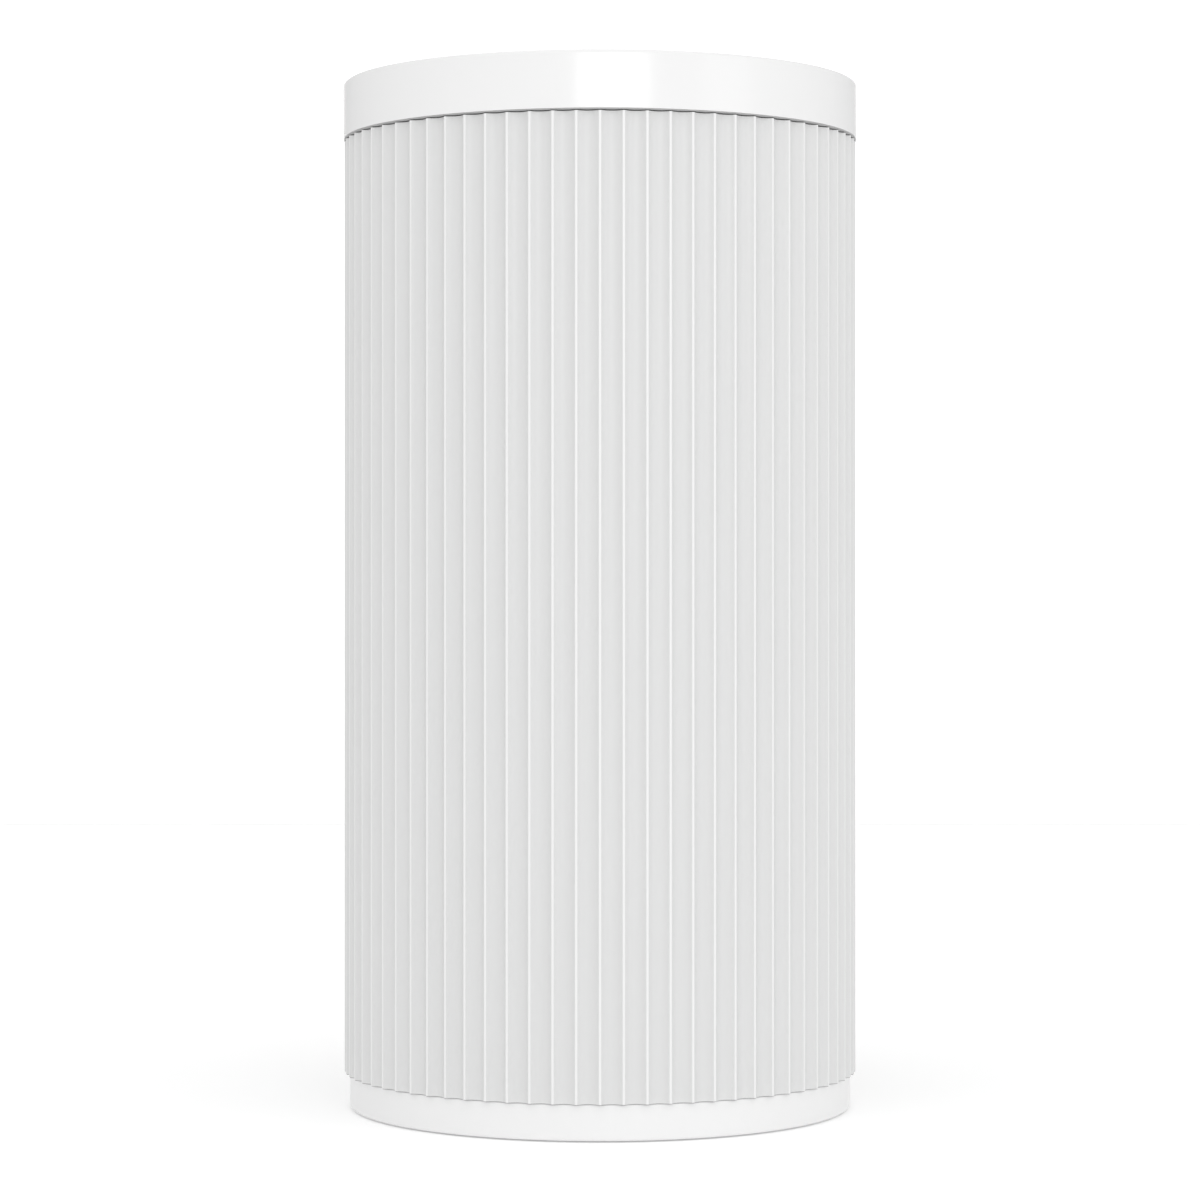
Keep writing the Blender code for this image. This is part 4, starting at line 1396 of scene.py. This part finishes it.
# %% Chassis wall and tray
WALL = (94.0 * MM, 96.5 * MM)
WALL_ARC = math.radians(94)
POST = (93.0 * MM, 6.0 * MM)  # where a post begins, sideways and front to back


def hoop(bm, low_r, high_r, bottom, top, start, angle, steps):
    """A flat upright face, spun part of the way round the axis."""
    corners = ((low_r, bottom), (high_r, bottom), (high_r, top), (low_r, top))
    face = bm.faces.new([bm.verts.new(polar(r, start, z)) for r, z in corners])
    extra = bmesh.ops.extrude_face_region(bm, geom=[face], use_keep_orig=True)["geom"]
    copies = [item for item in extra if isinstance(item, bmesh.types.BMFace)]
    bmesh.ops.delete(bm, geom=copies, context="FACES")
    spun(bm, [face], (0, 0, 0), angle, steps)


def chassis():
    low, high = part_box("chassis_wall")
    bm = bmesh.new()
    hoop(bm, *WALL, low.z, high.z, FRONT - WALL_ARC, 2 * WALL_ARC, 96)
    bmesh.ops.remove_doubles(bm, verts=bm.verts, dist=1e-6)
    for side in (-1, 1):
        near, far = sorted((side * POST[0], side * high.x))
        corners = (near, POST[1], low.z), (far, high.y, high.z)
        bm = carve(bm, block(bmesh.new(), *corners, 0.4 * MM), "UNION")
    return bm


def tray():
    low, high = levels("filter_tray")
    floor = high - 4 * MM
    bm = disc(radius_of("filter_tray"), floor, high, 0.6 * MM, 128)
    for node in numbered("base_screw"):
        x, y = centre_of(node).xy
        post = rod((x, y, low), (x, y, floor + 1 * MM), 4.5 * MM)
        hole = rod((x, y, low - 3 * MM), (x, y, 16 * MM), 1.5 * MM)
        bm = carve(carve(bm, post, "UNION"), hole)
    return bm


keep(chassis(), "curved_chassis_wall", "housing", FRAME, ["chassis_wall"])
keep(tray(), "tray_on_posts", "housing", FRAME, ["filter_tray"])

# %% [markdown]
# ## The filter cartridge
# The cartridge is a stack: a moulded base, a pleated paper ring inside a coarse nylon net, a carbon
# tube in its bore, a moulded collar, a foam seal on top, and a strap to pull it by. The pleats are
# one fold, repeated by a spin. The net is a grid rolled into a cylinder, and the wireframe operator
# turns its edges into threads.

# %% Cartridge
PLEATS = 96
MEDIA_OUTER, MEDIA_VALLEY, MEDIA_INNER = 75.5 * MM, 66.0 * MM, 60.0 * MM


def pleats():
    bottom, top = levels("filter_media")
    bm = bmesh.new()
    step = 2 * math.pi / PLEATS
    flat = 0.16  # half of the flat at the top of a pleat, as a share of a pleat
    fold = [(share, MEDIA_VALLEY) for share in (-0.5, flat - 0.5)]
    fold += [(share, MEDIA_OUTER) for share in (-flat, flat)]
    fold += [(share, MEDIA_VALLEY) for share in (0.5 - flat, 0.5)]
    chain = [bm.verts.new(polar(radius, share * step, bottom)) for share, radius in fold]
    for first, second in zip(chain, chain[1:]):
        bm.edges.new((first, second))
    repeated(bm, PLEATS)
    bmesh.ops.remove_doubles(bm, verts=bm.verts, dist=1e-6)
    drawn_to(bm, bm.edges[:], MEDIA_INNER)
    raised(bm, top - bottom)
    return bm


keep(pleats(), "pleated_ring", "filter", PAPER, ["filter_media"], crease=50)
keep(tube("carbon_core", 54.5 * MM), "carbon_tube", "filter", CARBON, ["carbon_core"])
for part, bore, rounding in (("base", 52 * MM, 1.2 * MM), ("collar", 54.5 * MM, 0.8 * MM)):
    node = f"filter_{part}"
    keep(tube(node, bore, rounding), f"cartridge_{part}", "filter", CARTRIDGE, [node])
seal = keep(tube("filter_seal", 64 * MM, 1.2 * MM), "foam_ring", "filter", FOAM, ["filter_seal"])

# %% Nets


def rolled_net(radius, start, angle, bottom, top, cell, thread):
    """A net of square cells on part of a cylinder, with real threads."""
    around = max(3, round(radius * angle / cell))
    upward = max(2, round((top - bottom) / cell))
    bm = bmesh.new()
    edge = bm.edges.new([bm.verts.new(polar(radius, start, level)) for level in (bottom, top)])
    bmesh.ops.subdivide_edges(bm, edges=[edge], cuts=upward - 1)
    spun(bm, bm.verts[:] + bm.edges[:], (0, 0, 0), angle, around, use_merge=angle > ALL_ROUND)
    bmesh.ops.remove_doubles(bm, verts=bm.verts, dist=1e-6)
    settings = {"use_boundary": True, "use_even_offset": True, "use_replace": True}
    bmesh.ops.wireframe(bm, faces=bm.faces[:], thickness=thread, **settings)
    return bm


net_bottom, net_top = levels("filter_net")
heights = (net_bottom + 0.4 * MM, net_top - 0.4 * MM)
cartridge_net = rolled_net(76.8 * MM, 0.0, 2 * math.pi, *heights, 5.2 * MM, 0.55 * MM)
keep(cartridge_net, "cartridge_net", "filter", NET, ["filter_net"], merge=False)

door_low, door_high = levels("door_net")
half_arc = math.radians(66)
net_arc = (REAR - half_arc + 0.03, 2 * half_arc - 0.06)
heights = (door_low + 3 * MM, door_high - 3 * MM)
door_net = rolled_net(103.9 * MM, *net_arc, *heights, 4.0 * MM, 0.5 * MM)
keep(door_net, "door_net_threads", "door", NET, merge=False)

# %% [markdown]
# The door's net is held in a slim moulded frame that clips behind the slots: two uprights and four
# hoops. Each is a small block or face spun round the axis.

# %% Frame of the door's net


def net_frame():
    bm = bmesh.new()
    width = 4 * MM
    inner, outer = 103.3 * MM, 104.5 * MM
    rows = [door_low + index * (door_high - door_low - width) / 3 for index in range(4)]
    for bottom in rows:
        hoop(bm, inner, outer, bottom, bottom + width, REAR - half_arc, 2 * half_arc, 48)
    for start in (REAR - half_arc, REAR + half_arc - 0.04):
        hoop(bm, inner, outer, door_low + width, door_high - width, start, 0.04, 2)
    return bm


keep(net_frame(), "door_net_frame", "door", CARTRIDGE, ["door_net"])

# %% [markdown]
# ## Strap, magnets and strips
# Small flat pieces keep the sizes of their parts and only gain rounded edges.

# %% Small blocks


def softened(node, rounding):
    return block(bmesh.new(), *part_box(node), rounding, 3)


keep(softened("filter_tab", 0.5 * MM), "woven_tab", "filter", STRAP, ["filter_tab"])
for node in numbered("door_magnet"):
    keep(softened(node, 0.5 * MM), f"{node}_block", "door", NICKEL, [node])
for node in numbered("strike_strip"):
    keep(softened(node, 0.3 * MM), f"{node}_plate", "housing", STEEL, [node])

# %% [markdown]
# ## Parts that are right already
# The rest of the mechanism has its final shape in the frame. Those parts only get a finish: the
# loop puts it in the material slot of each.

# %% Finishes for carried parts
CARRIED = {
    "air_sensor": CARTRIDGE,
    "harness": CABLE,
    "shaft_nut": STEEL,
    "stator": LAMINATION,
}
for node, finish in CARRIED.items():
    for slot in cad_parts[node].material_slots:
        slot.material = finish[0]
print("carried parts:", len(CARRIED))

# %% [markdown]
# ## The studio
# A white object on a white ground is lit from the front, and the room behind it is a little darker,
# so that its edges don't burn out. The floor is a wide white sheet, and a paper backdrop
# rises from it in a long curve, so there is no corner to see. The paper glows faintly, as
# if it were lit from behind. The world is an even soft light that fades towards the rear.

# %% Floor and backdrop
BACKDROP_PLACE = 2.6
BACKDROP_HALF_WIDTH = 0.85


def paper_finish():
    finish = Finish("white_paper", 0.9, Emission_Color=(1, 1, 1, 1), Emission_Strength=0.15)
    finish.tint(finish.noise(3.0), (0.93, 0.93, 0.93), (0.95, 0.95, 0.95))
    return finish.material


def stage_piece(bm, name, material):
    mesh = bpy.data.meshes.new(name)
    bm.to_mesh(mesh)
    bm.free()
    mesh.shade_smooth()
    mesh.materials.append(material)
    piece = bpy.data.objects.new(name, mesh)
    bpy.context.scene.collection.objects.link(piece)


def backdrop():
    """A sheet that lies on the floor, bends up in a quarter circle and stands upright."""
    bm = bmesh.new()
    bend = 0.8
    last = [bm.verts.new((-BACKDROP_HALF_WIDTH, BACKDROP_PLACE - bend, 0.0005))]
    settings = {"cent": (0, BACKDROP_PLACE - bend, bend), "axis": (1, 0, 0)}
    last = bmesh.ops.spin(bm, geom=last, angle=math.pi / 2, steps=24, **settings)["geom_last"]
    raised = bmesh.ops.extrude_vert_indiv(bm, verts=last)["verts"]
    bmesh.ops.translate(bm, verts=raised, vec=(0, 0, 0.5))
    across = bmesh.ops.extrude_edge_only(bm, edges=bm.edges[:])["geom"]
    far = [item for item in across if isinstance(item, bmesh.types.BMVert)]
    bmesh.ops.translate(bm, verts=far, vec=(2 * BACKDROP_HALF_WIDTH, 0, 0))
    return bm


floor = bmesh.new()
bmesh.ops.create_grid(floor, x_segments=1, y_segments=1, size=6.0)
white_paper = paper_finish()
stage_piece(floor, "studio_floor", white_paper)
stage_piece(backdrop(), "paper_backdrop", white_paper)

# %% World
FRONT_LIGHT, REAR_LIGHT = 1.0, 0.62


def room_light():
    world = bpy.data.worlds.new("white_room")
    world.use_nodes = True
    tree = world.node_tree
    direction = tree.nodes.new("ShaderNodeTexCoord").outputs["Generated"]
    parts = tree.nodes.new("ShaderNodeSeparateXYZ")
    tree.links.new(direction, parts.inputs["Vector"])
    fade = tree.nodes.new("ShaderNodeMapRange")
    fade.interpolation_type = "SMOOTHSTEP"
    tree.links.new(parts.outputs["Y"], fade.inputs["Value"])
    ends = {"From Min": -0.6, "From Max": 0.9, "To Min": FRONT_LIGHT, "To Max": REAR_LIGHT}
    for socket, value in ends.items():
        fade.inputs[socket].default_value = value
    light = tree.nodes["Background"]
    light.inputs["Color"].default_value = (1, 1, 1, 1)
    tree.links.new(fade.outputs["Result"], light.inputs["Strength"])
    bpy.context.scene.world = world


room_light()

# %% Lights and camera


def softbox(name, place, target, width, height, power):
    light = bpy.data.lights.new(name, "AREA")
    light.shape = "RECTANGLE"
    light.size, light.size_y = width, height
    light.energy = power
    lamp = bpy.data.objects.new(name, light)
    lamp.location = place
    lamp.rotation_euler = (Vector(target) - Vector(place)).to_track_quat("-Z", "Y").to_euler()
    bpy.context.scene.collection.objects.link(lamp)


MIDDLE = (0, 0, cad_bounds[1][2] / 2)
softbox("front_box", (0.207, -2.19, 0.73), (0, 0, 0.5), 1.2, 0.26, 5.0)
softbox("right_box", (1.8, -1.2, 0.5), MIDDLE, 0.9, 1.0, 2.0)
softbox("top_box", (0, 0, 2.2), MIDDLE, 1.6, 1.6, 6.0)

CAMERA_DISTANCE = 1.533
CAMERA_LEVEL = 0.2234
camera_data = bpy.data.cameras.new("studio_camera")
camera_data.lens = 106.5
camera_data.sensor_width = 36
camera_data.shift_y = -0.011
camera = bpy.data.objects.new("studio_camera", camera_data)
camera.location = (0, -CAMERA_DISTANCE, CAMERA_LEVEL)
camera.rotation_euler = (math.pi / 2, 0, 0)
bpy.context.scene.collection.objects.link(camera)
bpy.context.scene.camera = camera
bpy.context.scene.view_settings.view_transform = "Standard"
